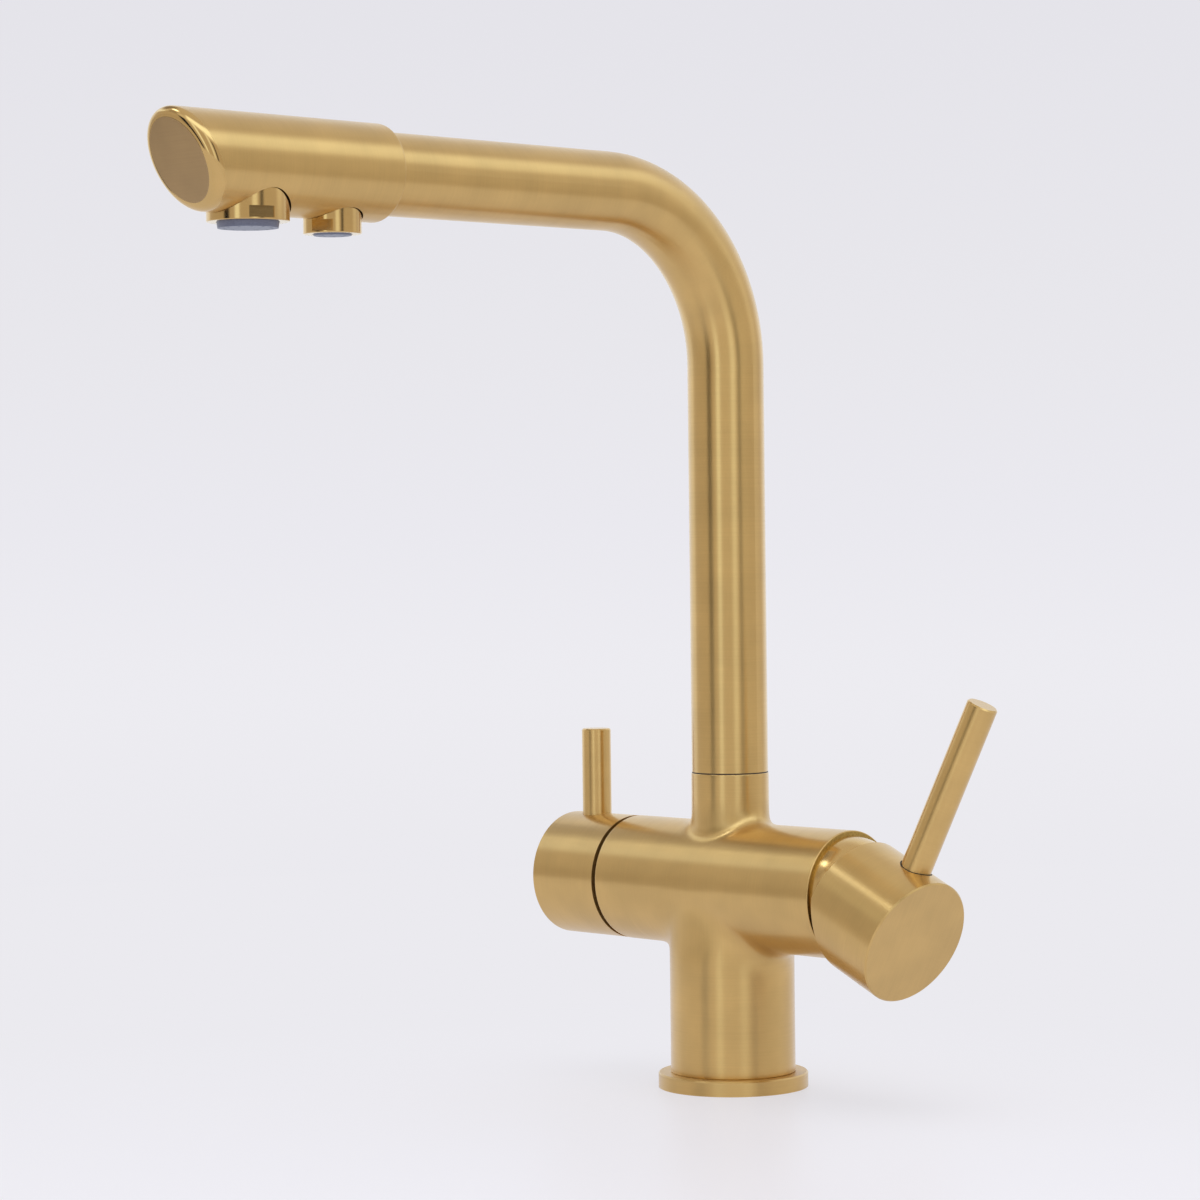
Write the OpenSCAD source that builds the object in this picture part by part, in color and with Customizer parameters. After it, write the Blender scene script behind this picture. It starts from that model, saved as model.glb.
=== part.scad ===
// Three way kitchen tap: hot and cold through a single lever mixer, and filtered water
// through a second handle and a second outlet.
// Millimetres, +Z up. The origin is on the worktop, at the middle of the base.
// The spout points to -Y, the mixer handle is on the +X side, the filter handle on the -X side.
// The handles stand as photographed: the mixer is open and a little turned, the filter is shut.

/* [Base] */
// Width of the base ring's step round the column
base_margin = 4.6; // [3.1:0.1:8]
// Height of the base ring
base_h = 5.5; // [4.5:0.5:8]
// Width of the column's shoulder that rests on the base ring
base_seat_w = 3.9; // [2.9:0.1:5.9]
// Distance from the base ring's edge to the gasket in its underside
gasket_margin = 2.5; // [2:0.1:3.5]
// Width of the gasket's ring
gasket_w = 4; // [2:0.5:4]
// Thickness of the gasket
gasket_h = 2; // [1:0.25:3]

/* [Body] */
// Diameter of the upright column
column_d = 45.8; // [44:0.2:46]
// Diameter of the crossbar
bar_d = 46.2; // [46:0.1:48]
// Height of the crossbar's axis over the worktop
bar_height = 74; // [68:1:100]
// Length of the crossbar from the column's axis to its mixer end
mixer_side = 59; // [57:0.5:80]
// Length of the crossbar from the column's axis to its filter end
filter_side = 48.5; // [46:0.5:70]
// Diameter of the neck under the spout
neck_d = 28.5; // [28:0.5:32]
// Height of the neck's top over the crossbar's axis
neck_rise = 41.4; // [38:0.2:60]
// Radius of the blend between the column and the crossbar
column_blend = 8; // [4:0.5:12]
// Radius of the blend between the neck and the crossbar
neck_blend = 7; // [3:0.5:9]

/* [Supply] */
// Core diameter of the three threaded hose sockets
inlet_core_d = 9; // [7:0.5:10]
// Depth of the hose sockets
inlet_depth = 14; // [10:1:20]
// Distance between the hot and the cold hose socket
inlet_spread = 16.4; // [15:0.2:18]
// Core diameter of the socket for the fixing stud
stud_core_d = 6.8; // [5:0.2:8]
// Depth of the socket for the fixing stud
stud_depth = 16; // [12:1:24]
// Diameter of the water passages in the body
passage_d = 6.4; // [5:0.2:7]

/* [Spout] */
// Outer diameter of the spout tube
tube_d = 28; // [27:0.5:29]
// Wall of the spout tube
tube_wall = 1.5; // [1:0.1:2]
// Radius of the spout's bend, on the tube's axis
bend_r = 60.5; // [40:0.5:90]
// Height of the level part's axis over the worktop
spout_height = 325; // [260:1:400]
// Distance from the column's axis to the near end of the spout head
head_start = 167.3; // [160:0.1:200]
// Diameter of the spout head
head_d = 33; // [32:0.5:36]
// Wall between the main outlet's recess and the lower edge of the slanted tip
tip_margin = 4.2; // [2:0.1:40]
// Lean of the tip's face from the upright, in degrees
tip_angle = 25.3; // [10:0.1:40]
// Radius of the tip's edges
tip_round = 2.6; // [2:0.1:6]

/* [Swivel] */
// Bore of the neck in which the spout turns
swivel_bore_d = 22; // [21:0.5:23]
// Depth of that bore
swivel_depth = 27.4; // [24:0.2:34]
// Thickness of the plastic washer between neck and spout
washer_h = 0.4; // [0.3:0.1:1]
// Length of the spigot inside the spout tube
spigot_insert = 14; // [8:1:30]
// Bore of the spigot
spigot_bore_d = 14; // [11:0.5:15]
// Thickness of the spigot's sealing rings
swivel_ring_d = 1.8; // [1.2:0.1:2.2]
// Diameter of the screw that keeps the spout in the neck
swivel_screw_d = 4; // [3:0.5:4]
// Outer diameter of the filtered water tube inside the spout
filter_tube_d = 8; // [6:0.5:8.5]
// Wall of the filtered water tube
filter_tube_wall = 1.25; // [0.8:0.05:1.5]

/* [Main outlet] */
// Gap between the collars of the two outlets
outlet_gap = 12.15; // [3:0.05:40]
// Diameter of the main aerator's housing
main_housing_d = 27.1; // [26:0.1:28]
// Drop of the housing's rim below the spout's axis
main_rim_drop = 17.8; // [17:0.1:24]
// Core diameter of its thread
main_core_d = 23; // [22:0.5:24]
// Diameter of the main aerator's insert
main_insert_d = 20.6; // [18:0.1:21]
// Length of the insert that stands proud of the housing
main_insert_proud = 3.1; // [1:0.1:4]

/* [Filtered outlet] */
// Wall between the tube's socket and the recess of the filtered water outlet
filter_margin = 1.5; // [1:0.1:20]
// Diameter of the filtered water aerator's housing
filter_housing_d = 19.4; // [18.5:0.1:19.6]
// Drop of the housing's rim below the spout's axis
filter_rim_drop = 20.9; // [18:0.1:28]
// Core diameter of its thread
filter_core_d = 17; // [16:0.5:17]
// Diameter of the filtered water aerator's insert
filter_insert_d = 13.2; // [10:0.1:14]
// Length of the insert that stands proud of the housing
filter_insert_proud = 0.8; // [0.5:0.1:3]

/* [Mixer cartridge] */
// Diameter of the cartridge
cartridge_d = 35; // [34:0.5:36]
// Depth of the cartridge's chamber below the lever's pivot
chamber_depth = 33; // [32:0.5:36]
// Distance of the lever's pivot inside the crossbar's end
pivot_inset = 1.9; // [1:0.1:3]
// Diameter of the cartridge's neck
cartridge_neck_d = 24.8; // [24:0.2:26]
// Diameter of the nut and of the dome's thread
nut_d = 40.6; // [38:0.2:41]
// Thickness of the nut
nut_h = 5.5; // [4:0.5:6]
// Diameter of the turning carrier
carrier_d = 20; // [19:0.5:21]
// Diameter of the pivot pin
pivot_pin_d = 3; // [2.5:0.5:4]
// Length of the pivot pin
pivot_pin_length = 18; // [12:0.5:18]
// Width of the square stem
stem_w = 8; // [7:0.5:8]
// Distance from the pivot to the ball that drives the discs
tongue_length = 13; // [11.6:0.1:13.2]
// Diameter of that ball
ball_d = 5.2; // [4:0.2:5.4]
// Diameter of the water ports in the cartridge
port_d = 6.4; // [5:0.2:7]

/* [Mixer handle] */
// How far the mixer cap's wall stands outside the crossbar's
mixer_cap_step = 0.15; // [0:0.05:2]
// Wall of the mixer cap
mixer_cap_wall = 1.4; // [1:0.1:1.4]
// Distance from the pivot to the cap's end face
mixer_cap_end = 36.6; // [34:0.1:44]
// Thickness of the cap's end
mixer_cap_end_wall = 3; // [2:0.5:5]
// Distance from the pivot to the cap's rim
mixer_rim = 4.5; // [3:0.1:6]
// Gap between the open cap's lower lip and the crossbar
lip_gap = 2.3; // [1:0.1:4]
// Diameter of the mixer lever
mixer_lever_d = 11.1; // [9:0.1:12]
// Distance from the pivot to the lever's axis, along the cap
mixer_lever_place = 24.4; // [23:0.1:27]
// Distance from the cap's axis to the lever's tip
mixer_lever_tip = 86.4; // [50:0.2:120]

/* [Filter valve] */
// Core diameter of the valve's thread
valve_core_d = 17; // [16:0.5:18]
// Depth of the valve's chamber from the crossbar's end
valve_depth = 20.5; // [20:0.5:26]
// Diameter of the valve's spindle
spindle_d = 8; // [6:0.5:9]
// Width of the groove between crossbar and filter cap
groove_w = 1.8; // [1:0.1:3]

/* [Filter handle] */
// How far the filter cap's wall lies inside the crossbar's
filter_cap_inset = 0.1; // [-2:0.1:0.5]
// Distance from the column's axis to the filter cap's end face
filter_cap_end = 82.6; // [81:0.1:100]
// Thickness of the cap's end
filter_cap_end_wall = 3; // [2:0.5:4]
// Diameter of the filter lever
filter_lever_d = 11; // [9:0.1:12]
// Distance from the column's axis to the lever's axis
filter_lever_place = 70.5; // [68:0.1:72]
// Distance from the cap's axis to the lever's tip
filter_lever_tip = 55.2; // [35:0.2:80]

/* [Pose] */
// Tilt of the open mixer handle, in degrees
mixer_tilt = 23.5; // [0:0.5:25]
// Turn of the mixer handle towards the back, in degrees
mixer_turn = 6.7; // [-45:0.1:45]

/* [Hidden] */
$fn = 96;

// Colours
gold = "#c8a25c";
raw_brass = "#b89a4a";
steel = "#9aa0a6";
black_rubber = "#26241f";
grey_plastic = "#7d8494";
white_plastic = "#d9d6cc";
ceramic = "#e9e4d6";
brown_plastic = "#4a3a2a";

// General clearances: cuts run past faces, fixed fits, turning fits, and free gaps
overrun = 1;
seat_gap = 0.05;
running_gap = 0.05;
free_gap = 0.3;
edge_break = 0.5;

// Base and body
column_r = column_d / 2;
base_r = column_r + base_margin;
base_bore_r = column_r - base_seat_w;
gasket_r = base_r - gasket_margin;
bar_r = bar_d / 2;
neck_r = neck_d / 2;
neck_top = bar_height + neck_rise;
blend_inset = 0.15;
inlet_place = inlet_spread / 2;
passage_r = passage_d / 2;
chamber_wall_gap = 0.1;

// Ports of the cartridge: drop of the hot and cold ports, rise of the mixed water port
supply_port_drop = 5;
mixed_port_rise = 9;
mixed_link_x = 8;
mixed_link_d = 5.4;

// Swivel
swivel_bore_r = swivel_bore_d / 2;
swivel_floor = neck_top - swivel_depth;
spigot_r = swivel_bore_r - running_gap;
spigot_end_gap = 2;
spigot_bottom = swivel_floor + spigot_end_gap;
tube_bottom = neck_top + washer_h;
tube_r = tube_d / 2;
tube_bore_r = tube_r - tube_wall;
filter_tube_r = filter_tube_d / 2;
filter_tube_bore_r = filter_tube_r - filter_tube_wall;
filter_tube_socket = 9;
swivel_ring_r = swivel_ring_d / 2;
ring_groove_slack = 0.6;
ring_inset = 5;
swivel_screw_r = swivel_screw_d / 2;
swivel_screw_bite = 1.35;
swivel_screw_sink = 0.25;
swivel_groove_depth = 1.75;
swivel_middle = (spigot_bottom + neck_top) / 2;
lower_ring_z = spigot_bottom + ring_inset;
upper_ring_z = neck_top - ring_inset;

// Spout head
head_r = head_d / 2;
head_bevel = 0.8;
socket_depth = 7;
tip_arc_steps = 7;
channel_rise = 9.3;
channel_r = 3.6;
main_housing_r = main_housing_d / 2;
main_core_r = main_core_d / 2;
main_insert_r = main_insert_d / 2;
main_recess_rise = -3;
main_thread_rise = 3;
main_bore_rise = 8.5;
main_insert_rise = -7;
recess_gap = 0.5;
outlet_washer_h = 0.5;
filter_housing_r = filter_housing_d / 2;
filter_core_r = filter_core_d / 2;
filter_insert_r = filter_insert_d / 2;
filter_recess_rise = -9;
filter_thread_rise = -2;
filter_bore_rise = 1;
filter_insert_rise = -13;
// Places of the outlets and the tip, by distance from the column's axis
filter_reach = head_start + socket_depth + filter_margin + recess_gap + filter_housing_r;
main_reach = filter_reach + filter_housing_r + outlet_gap + main_housing_r;
tip_low_x = main_reach + main_housing_r + recess_gap + tip_margin;
tip_rise = head_r - tip_round;
tip_reach = tip_low_x + (tip_rise * sin(tip_angle) + tip_round) / cos(tip_angle);
flat_depth = 1;
flat_h = 3.6;
flat_rim = 1;
insert_taper = 0.4;
nozzle_d = 1.1;
nozzle_depth = 2;
nozzle_inset = 2.4;
// Directions of the spanner flats, in degrees, and numbers of nozzles
main_flat_turn = -25;
filter_flat_turn = -77;
main_nozzles = 12;
filter_nozzles = 8;

// Mixer
pivot_x = mixer_side - pivot_inset;
chamber_x = pivot_x - chamber_depth;
cartridge_r = cartridge_d / 2;
cartridge_neck_r = cartridge_neck_d / 2;
carrier_r = carrier_d / 2;
nut_r = nut_d / 2;
port_gasket_h = 1;
base_plate_h = 4;
fixed_disc_h = 4;
moving_disc_h = 3.5;
fixed_disc_r = 15;
moving_disc_r = 10.5;
moving_disc_well_r = 7;
moving_disc_well_depth = 2;
driver_r = 7.5;
shoulder_depth = 9;
web_depth = 10.6;
carrier_flange_depth = 8;
carrier_flange_d = 23;
housing_rise = 3;
carrier_rise = 3.5;
carrier_slot = 15;
cartridge_wall = 1.5;
pivot_pin_r = pivot_pin_d / 2;
tongue_d = 4;
stem_below = 4;
stem_above = 28;
ball_r = ball_d / 2;
ball_gap = 0.2;
driver_floor_gap = 0.6;
driver_top_gap = 0.3;
dome_gap = 0.45;
dome_wall = 1.8;
dome_end = 12.4;
skirt_wall = 1.8;
nut_notch_w = 4;
nut_notch_depth = 2;
mixer_cap_r = bar_r + mixer_cap_step;
mixer_cap_bore_r = mixer_cap_r - mixer_cap_wall;
dome_r = mixer_cap_bore_r - dome_gap;
mixer_boss_start = 16.5;
mixer_boss_r = 7.5;
lever_post_r = 6.3;
lever_seat_depth = 1.2;
lever_stub_d = 5;
lever_bevel = 0.5;
mixer_lever_r = mixer_lever_d / 2;
grub_d = 4;
grub_length = 10;
grub_place = 22;
grub_post_r = 3.1;
grub_socket_d = 2.2;
grub_socket_depth = 2.5;
plug_d = 5;
plug_depth = 2.2;
plug_proud = 1.1;
lip_x = mixer_side + lip_gap;

// The discs lie where the stem's ball has pushed them
disc_shift = tongue_length * sin(mixer_tilt);

// Filter valve, by distance from the column's axis
valve_x = filter_side - valve_depth;
valve_core_r = valve_core_d / 2;
valve_recess_r = 15;
valve_recess_depth = 4.5;
valve_flange_w = 24;
valve_flange_h = 3.5;
valve_nose_r = 8;
valve_nose_end = 8.5;
valve_bore_d = 13.2;
valve_bore_depth = 13;
valve_seal_h = 2;
valve_seal_bore_d = 7;
valve_disc_h = 3;
valve_moving_disc_h = 2.5;
valve_port_d = 3.6;
valve_port_place = 3.3;
valve_window_place = 10.2;
valve_window_d = 5;
spindle_r = spindle_d / 2;
spindle_flange_h = 1.5;
spindle_ring_d = 1.4;
spindle_ring_place = 3;
spindle_end = 5.5;
glide_ring_w = 4.5;
glide_ring_d = 41;
filter_cap_r = bar_r - filter_cap_inset;
filter_cap_wall = 3.5;
filter_boss_start = 11.5;
filter_boss_r = 8;
filter_lever_r = filter_lever_d / 2;
filter_passage_place = 10;
filter_link_x = 20;

// Round ring of height h that stands on the origin
module ring(outer_r, inner_r, h) {
    difference() {
        cylinder(r = outer_r, h = h);
        translate([0, 0, -overrun])
            cylinder(r = inner_r, h = h + 2 * overrun);
    }
}

// Round bar that stands on the origin, with a bevel round its top
module bevelled_rod(r, h, bevel) {
    cylinder(r = r, h = h - bevel);
    translate([0, 0, h - bevel])
        cylinder(r1 = r, r2 = r - bevel, h = bevel);
}

// Sealing ring that lies round the origin
module seal_ring(centre_r, section_r) {
    rotate_extrude()
        translate([centre_r, 0])
            circle(r = section_r, $fn = 32);
}

// Children drawn upwards point along the crossbar to the mixer's side, from x
module towards_mixer(x) {
    translate([x, 0, bar_height])
        rotate([0, 90, 0])
            children();
}

// Children drawn upwards point along the crossbar to the filter's side, from distance x
module towards_filter(x) {
    translate([-x, 0, bar_height])
        rotate([0, -90, 0])
            children();
}

// Children drawn upwards point along the spout to its tip, from distance y
module towards_tip(y) {
    translate([0, -y, spout_height])
        rotate([90, 0, 0])
            children();
}

// Children stand at an outlet, with z counted from the spout's axis
module at_outlet(reach) {
    translate([0, -reach, spout_height])
        children();
}

// Frame of the cartridge's carrier: origin on the pivot, X outwards, turned with the handle
module carrier_frame() {
    translate([pivot_x, 0, bar_height])
        rotate([-mixer_turn, 0, 0])
            children();
}

// Frame of the mixer handle: as the carrier's, and tilted, with the lever along Z
module handle_frame() {
    carrier_frame()
        rotate([0, mixer_tilt, 0])
            children();
}

// Children drawn upwards point along X, from x
module along_x(x) {
    translate([x, 0, 0])
        rotate([0, 90, 0])
            children();
}

// Quarter bend of a round bar: it leaves the origin upwards and ends level, pointing to +X
module quarter_bend(centre_r, bar_radius) {
    translate([centre_r, 0, 0])
        mirror([1, 0, 0])
            rotate([90, 0, 0])
                rotate_extrude(angle = 90)
                    translate([centre_r, 0])
                        circle(r = bar_radius);
}

// Pair of quarter bends, one to each side
module bend_pair(centre_r, bar_radius) {
    quarter_bend(centre_r, bar_radius);
    mirror([1, 0, 0])
        quarter_bend(centre_r, bar_radius);
}

// Points of an arc, from one angle to another
function arc_points(centre, r, from, to, steps) = [
    for (i = [0:steps])
        centre + r * [cos(from + (to - from) * i / steps), sin(from + (to - from) * i / steps)]
];

// Base

module base_ring() {
    color(gold)
        difference() {
            bevelled_rod(base_r, base_h, edge_break);
            translate([0, 0, -overrun])
                cylinder(r = base_bore_r, h = base_h + 2 * overrun);
            translate([0, 0, -overrun])
                ring(gasket_r, gasket_r - gasket_w, gasket_h + overrun);
        }
}

module base_gasket() {
    color(black_rubber)
        ring(gasket_r - seat_gap, gasket_r - gasket_w + seat_gap, gasket_h);
}

// Body

module body_outside() {
    translate([0, 0, base_h])
        cylinder(r = column_r, h = bar_height - base_h);
    cylinder(r = base_bore_r - seat_gap, h = base_h + overrun);
    towards_mixer(-filter_side)
        cylinder(r = bar_r, h = filter_side + mixer_side);
    translate([0, 0, bar_height])
        cylinder(r = neck_r, h = neck_rise);
    translate([0, 0, bar_height - column_r - column_blend])
        bend_pair(column_r + column_blend, column_r - blend_inset);
    translate([0, 0, bar_height + bar_r + neck_blend - blend_inset])
        mirror([0, 0, 1])
            bend_pair(neck_r + neck_blend, neck_r - blend_inset);
}

// Straight water passage from one point of the body to another along X
module passage_x(x_from, x_to, y, z) {
    translate([min(x_from, x_to), y, z])
        rotate([0, 90, 0])
            cylinder(r = passage_r, h = abs(x_to - x_from));
}

// The same along Y
module passage_y(x, y_from, y_to, z) {
    translate([x, min(y_from, y_to), z])
        rotate([-90, 0, 0])
            cylinder(r = passage_r, h = abs(y_to - y_from));
}

// Threaded hose socket in the underside and the passage that rises from it
module inlet(x, y, top) {
    translate([x, y, -overrun])
        cylinder(d = inlet_core_d, h = inlet_depth + overrun);
    translate([x, y, 0])
        cylinder(r = passage_r, h = top);
}

module supply_passages() {
    supply_z = bar_height - supply_port_drop;
    for (side = [-1, 1]) {
        inlet(inlet_place, side * inlet_place, supply_z);
        passage_x(inlet_place, chamber_x + overrun, side * inlet_place, supply_z);
    }
    inlet(-inlet_place, inlet_place, bar_height);
    passage_x(-filter_link_x, -inlet_place, inlet_place, bar_height);
    passage_y(-filter_link_x, 0, inlet_place, bar_height);
    passage_x(-valve_x - overrun, -filter_link_x, 0, bar_height);
    translate([-inlet_place, -inlet_place, -overrun])
        cylinder(d = stud_core_d, h = stud_depth + overrun);
}

module outlet_passages() {
    mixed_z = bar_height + mixed_port_rise;
    passage_x(mixed_link_x, chamber_x + overrun, 0, mixed_z);
    translate([mixed_link_x, 0, mixed_z])
        cylinder(d = mixed_link_d, h = swivel_floor - mixed_z + overrun);
    passage_x(-valve_x - valve_window_place, 0, -filter_passage_place, bar_height);
    passage_y(0, -filter_passage_place, 0, bar_height);
    translate([0, 0, bar_height])
        cylinder(r = filter_tube_r + running_gap, h = swivel_floor - bar_height + overrun);
}

module body_casting() {
    color(gold)
        difference() {
            body_outside();
            translate([0, 0, swivel_floor])
                cylinder(r = swivel_bore_r, h = swivel_depth + overrun);
            translate([0, 0, swivel_middle])
                rotate([-90, 0, 0])
                    cylinder(r = swivel_screw_r, h = neck_r + overrun);
            towards_mixer(chamber_x)
                cylinder(r = cartridge_r + chamber_wall_gap, h = chamber_depth);
            towards_mixer(pivot_x - shoulder_depth)
                cylinder(r = nut_r, h = shoulder_depth + pivot_inset + overrun);
            towards_filter(valve_x)
                cylinder(r = valve_core_r, h = valve_depth);
            towards_filter(filter_side - valve_recess_depth)
                cylinder(r = valve_recess_r, h = valve_recess_depth + overrun);
            supply_passages();
            outlet_passages();
        }
}

// Mixer cartridge, fixed pieces

// The hot, cold and mixed water ports, drawn in the plane of the cartridge's discs
module cartridge_ports(h) {
    places = [
        [supply_port_drop, inlet_place], [supply_port_drop, -inlet_place], [-mixed_port_rise, 0]
    ];
    for (place = places)
        translate([place.x, place.y, -overrun])
            cylinder(d = port_d, h = h + 2 * overrun);
}

module ported_disc(r, h) {
    difference() {
        cylinder(r = r, h = h);
        cartridge_ports(h);
    }
}

module mixer_port_gasket() {
    color(black_rubber)
        towards_mixer(chamber_x)
            ported_disc(cartridge_r - chamber_wall_gap, port_gasket_h);
}

module mixer_base_plate() {
    color(white_plastic)
        towards_mixer(chamber_x + port_gasket_h)
            ported_disc(cartridge_r, base_plate_h);
}

module mixer_fixed_disc() {
    color(ceramic)
        towards_mixer(chamber_x + port_gasket_h + base_plate_h)
            ported_disc(fixed_disc_r, fixed_disc_h);
}

module mixer_cartridge_housing() {
    foot = chamber_depth - port_gasket_h - base_plate_h;
    color(white_plastic)
        towards_mixer(pivot_x - foot)
            difference() {
                union() {
                    cylinder(r = cartridge_r, h = foot - shoulder_depth);
                    cylinder(r = cartridge_neck_r, h = foot + housing_rise);
                }
                translate([0, 0, -overrun])
                    cylinder(r = cartridge_r - cartridge_wall, h = foot - web_depth + overrun);
                cylinder(d = carrier_flange_d + 2 * running_gap, h = foot - carrier_flange_depth);
                cylinder(r = carrier_r, h = foot + housing_rise + overrun);
            }
}

module mixer_nut() {
    color(raw_brass)
        towards_mixer(pivot_x - shoulder_depth)
            difference() {
                ring(nut_r - seat_gap, cartridge_neck_r + seat_gap, nut_h);
                for (turn = [0:90:270])
                    rotate([0, 0, turn])
                        translate([cartridge_neck_r, -nut_notch_w / 2, nut_h - nut_notch_depth])
                            cube([nut_notch_w, nut_notch_w, nut_notch_depth + overrun]);
            }
}

module mixer_dome_cover() {
    skirt_h = shoulder_depth - nut_h + pivot_inset;
    color(gold)
        difference() {
            union() {
                intersection() {
                    towards_mixer(pivot_x)
                        sphere(r = dome_r);
                    towards_mixer(mixer_side)
                        cylinder(r = dome_r + overrun, h = dome_end - pivot_inset);
                }
                towards_mixer(mixer_side - skirt_h)
                    cylinder(r = nut_r - seat_gap, h = skirt_h);
            }
            towards_mixer(pivot_x)
                sphere(r = dome_r - dome_wall);
            towards_mixer(mixer_side - skirt_h - overrun)
                cylinder(r = nut_r - skirt_wall, h = skirt_h + overrun);
        }
}

// Mixer cartridge, pieces that turn with the handle

module mixer_carrier() {
    slot_w = stem_w + 2 * running_gap;
    color(grey_plastic)
        carrier_frame()
            difference() {
                union() {
                    along_x(-web_depth)
                        cylinder(d = carrier_flange_d, h = web_depth - carrier_flange_depth);
                    along_x(-web_depth)
                        cylinder(r = carrier_r - running_gap, h = web_depth + carrier_rise);
                }
                translate([-web_depth - overrun, -slot_w / 2, -carrier_slot / 2])
                    cube([web_depth + carrier_rise + 2 * overrun, slot_w, carrier_slot]);
                rotate([90, 0, 0])
                    cylinder(r = pivot_pin_r, h = carrier_d + overrun, center = true);
            }
}

module mixer_pivot_pin() {
    color(steel)
        carrier_frame()
            rotate([90, 0, 0])
                cylinder(r = pivot_pin_r - running_gap / 2, h = pivot_pin_length, center = true);
}

// Mixer cartridge, pieces that slide under the stem's ball

module mixer_moving_disc() {
    disc_bottom = chamber_depth - port_gasket_h - base_plate_h - fixed_disc_h;
    color(ceramic)
        carrier_frame()
            translate([0, 0, disc_shift])
                along_x(-disc_bottom)
                    difference() {
                        cylinder(r = moving_disc_r, h = moving_disc_h);
                        translate([0, 0, -overrun])
                            cylinder(r = moving_disc_well_r, h = moving_disc_well_depth + overrun);
                    }
}

module mixer_disc_driver() {
    driver_bottom = chamber_depth - port_gasket_h - base_plate_h - fixed_disc_h - moving_disc_h;
    driver_top = web_depth + driver_top_gap;
    pocket_bottom = tongue_length + ball_r + driver_floor_gap;
    color(grey_plastic)
        carrier_frame()
            translate([0, 0, disc_shift])
                difference() {
                    along_x(-driver_bottom)
                        cylinder(r = driver_r, h = driver_bottom - driver_top);
                    along_x(-pocket_bottom)
                        cylinder(r = ball_r + ball_gap, h = pocket_bottom);
                }
}

// Mixer handle

module mixer_stem() {
    color(steel)
        handle_frame()
            difference() {
                union() {
                    translate([-stem_below, -stem_w / 2, -stem_w / 2])
                        cube([stem_below + stem_above, stem_w, stem_w]);
                    along_x(-tongue_length)
                        cylinder(d = tongue_d, h = tongue_length);
                    translate([-tongue_length, 0, 0])
                        sphere(r = ball_r);
                }
                rotate([90, 0, 0])
                    cylinder(r = pivot_pin_r + running_gap / 2, h = stem_w + overrun, center = true);
            }
}

// Solid of the mixer cap in the handle's frame, before the lip is relieved
module mixer_cap_blank() {
    cavity_end = mixer_cap_end - mixer_cap_end_wall;
    difference() {
        union() {
            difference() {
                along_x(mixer_rim)
                    bevelled_rod(mixer_cap_r, mixer_cap_end - mixer_rim, edge_break);
                along_x(mixer_rim - overrun)
                    cylinder(r = mixer_cap_bore_r, h = cavity_end - mixer_rim + overrun);
            }
            along_x(mixer_boss_start)
                cylinder(r = mixer_boss_r, h = cavity_end - mixer_boss_start);
            translate([mixer_lever_place, 0, 0])
                cylinder(r = lever_post_r, h = mixer_cap_bore_r + mixer_cap_wall / 2);
            translate([grub_place, 0, -mixer_cap_bore_r - mixer_cap_wall / 2])
                cylinder(r = grub_post_r, h = mixer_cap_bore_r);
        }
        translate([mixer_boss_start - overrun, -stem_w / 2 - seat_gap, -stem_w / 2 - seat_gap])
            cube([stem_above - mixer_boss_start + overrun, stem_w + 2 * seat_gap, stem_w + 2 * seat_gap]);
        translate([mixer_lever_place, 0, 0])
            cylinder(d = lever_stub_d, h = mixer_cap_r);
        translate([mixer_lever_place, 0, mixer_cap_r - lever_seat_depth])
            cylinder(r = mixer_lever_r + seat_gap, h = lever_seat_depth + overrun);
        translate([grub_place, 0, -mixer_cap_r])
            cylinder(d = grub_d, h = mixer_cap_r);
        translate([grub_place, 0, -mixer_cap_r - overrun])
            cylinder(d = plug_d, h = plug_depth + overrun);
    }
}

module mixer_cap() {
    block = 2 * mixer_cap_end;
    color(gold)
        difference() {
            handle_frame()
                mixer_cap_blank();
            translate([lip_x - block, -block / 2, bar_height - block / 2])
                cube(block);
        }
}

// Round lever with a threaded stub below it, along Z from the cap's axis
module lever(r, cap_radius, stub_from, tip) {
    seat = cap_radius - lever_seat_depth;
    translate([0, 0, stub_from])
        cylinder(d = lever_stub_d - 2 * seat_gap, h = seat - stub_from);
    translate([0, 0, seat])
        bevelled_rod(r, tip - seat, lever_bevel);
}

module mixer_lever() {
    color(gold)
        handle_frame()
            translate([mixer_lever_place, 0, 0])
                lever(mixer_lever_r, mixer_cap_r, stem_w / 2 + seat_gap, mixer_lever_tip);
}

module mixer_grub_screw() {
    color(steel)
        handle_frame()
            translate([grub_place, 0, -stem_w / 2 - seat_gap])
                mirror([0, 0, 1])
                    difference() {
                        cylinder(r = grub_d / 2 - seat_gap, h = grub_length);
                        translate([0, 0, grub_length - grub_socket_depth])
                            cylinder(d = grub_socket_d, h = grub_socket_depth + overrun, $fn = 6);
                    }
}

module mixer_screw_plug() {
    color(gold)
        handle_frame()
            translate([grub_place, 0, plug_depth - mixer_cap_r])
                mirror([0, 0, 1])
                    bevelled_rod(plug_d / 2 - seat_gap, plug_depth + plug_proud, edge_break);
}

// Filter valve, fixed pieces

// Two ports of the valve's discs, one on each side of the axis
module valve_ports(h) {
    for (side = [-1, 1])
        translate([0, side * valve_port_place, -overrun])
            cylinder(d = valve_port_d, h = h + 2 * overrun);
}

module filter_valve_seal() {
    color(black_rubber)
        towards_filter(valve_x)
            ring(valve_bore_d / 2 - seat_gap, valve_seal_bore_d / 2, valve_seal_h);
}

module filter_fixed_disc() {
    color(ceramic)
        towards_filter(valve_x + valve_seal_h)
            difference() {
                cylinder(r = valve_bore_d / 2 - seat_gap, h = valve_disc_h);
                valve_ports(valve_disc_h);
            }
}

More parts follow.
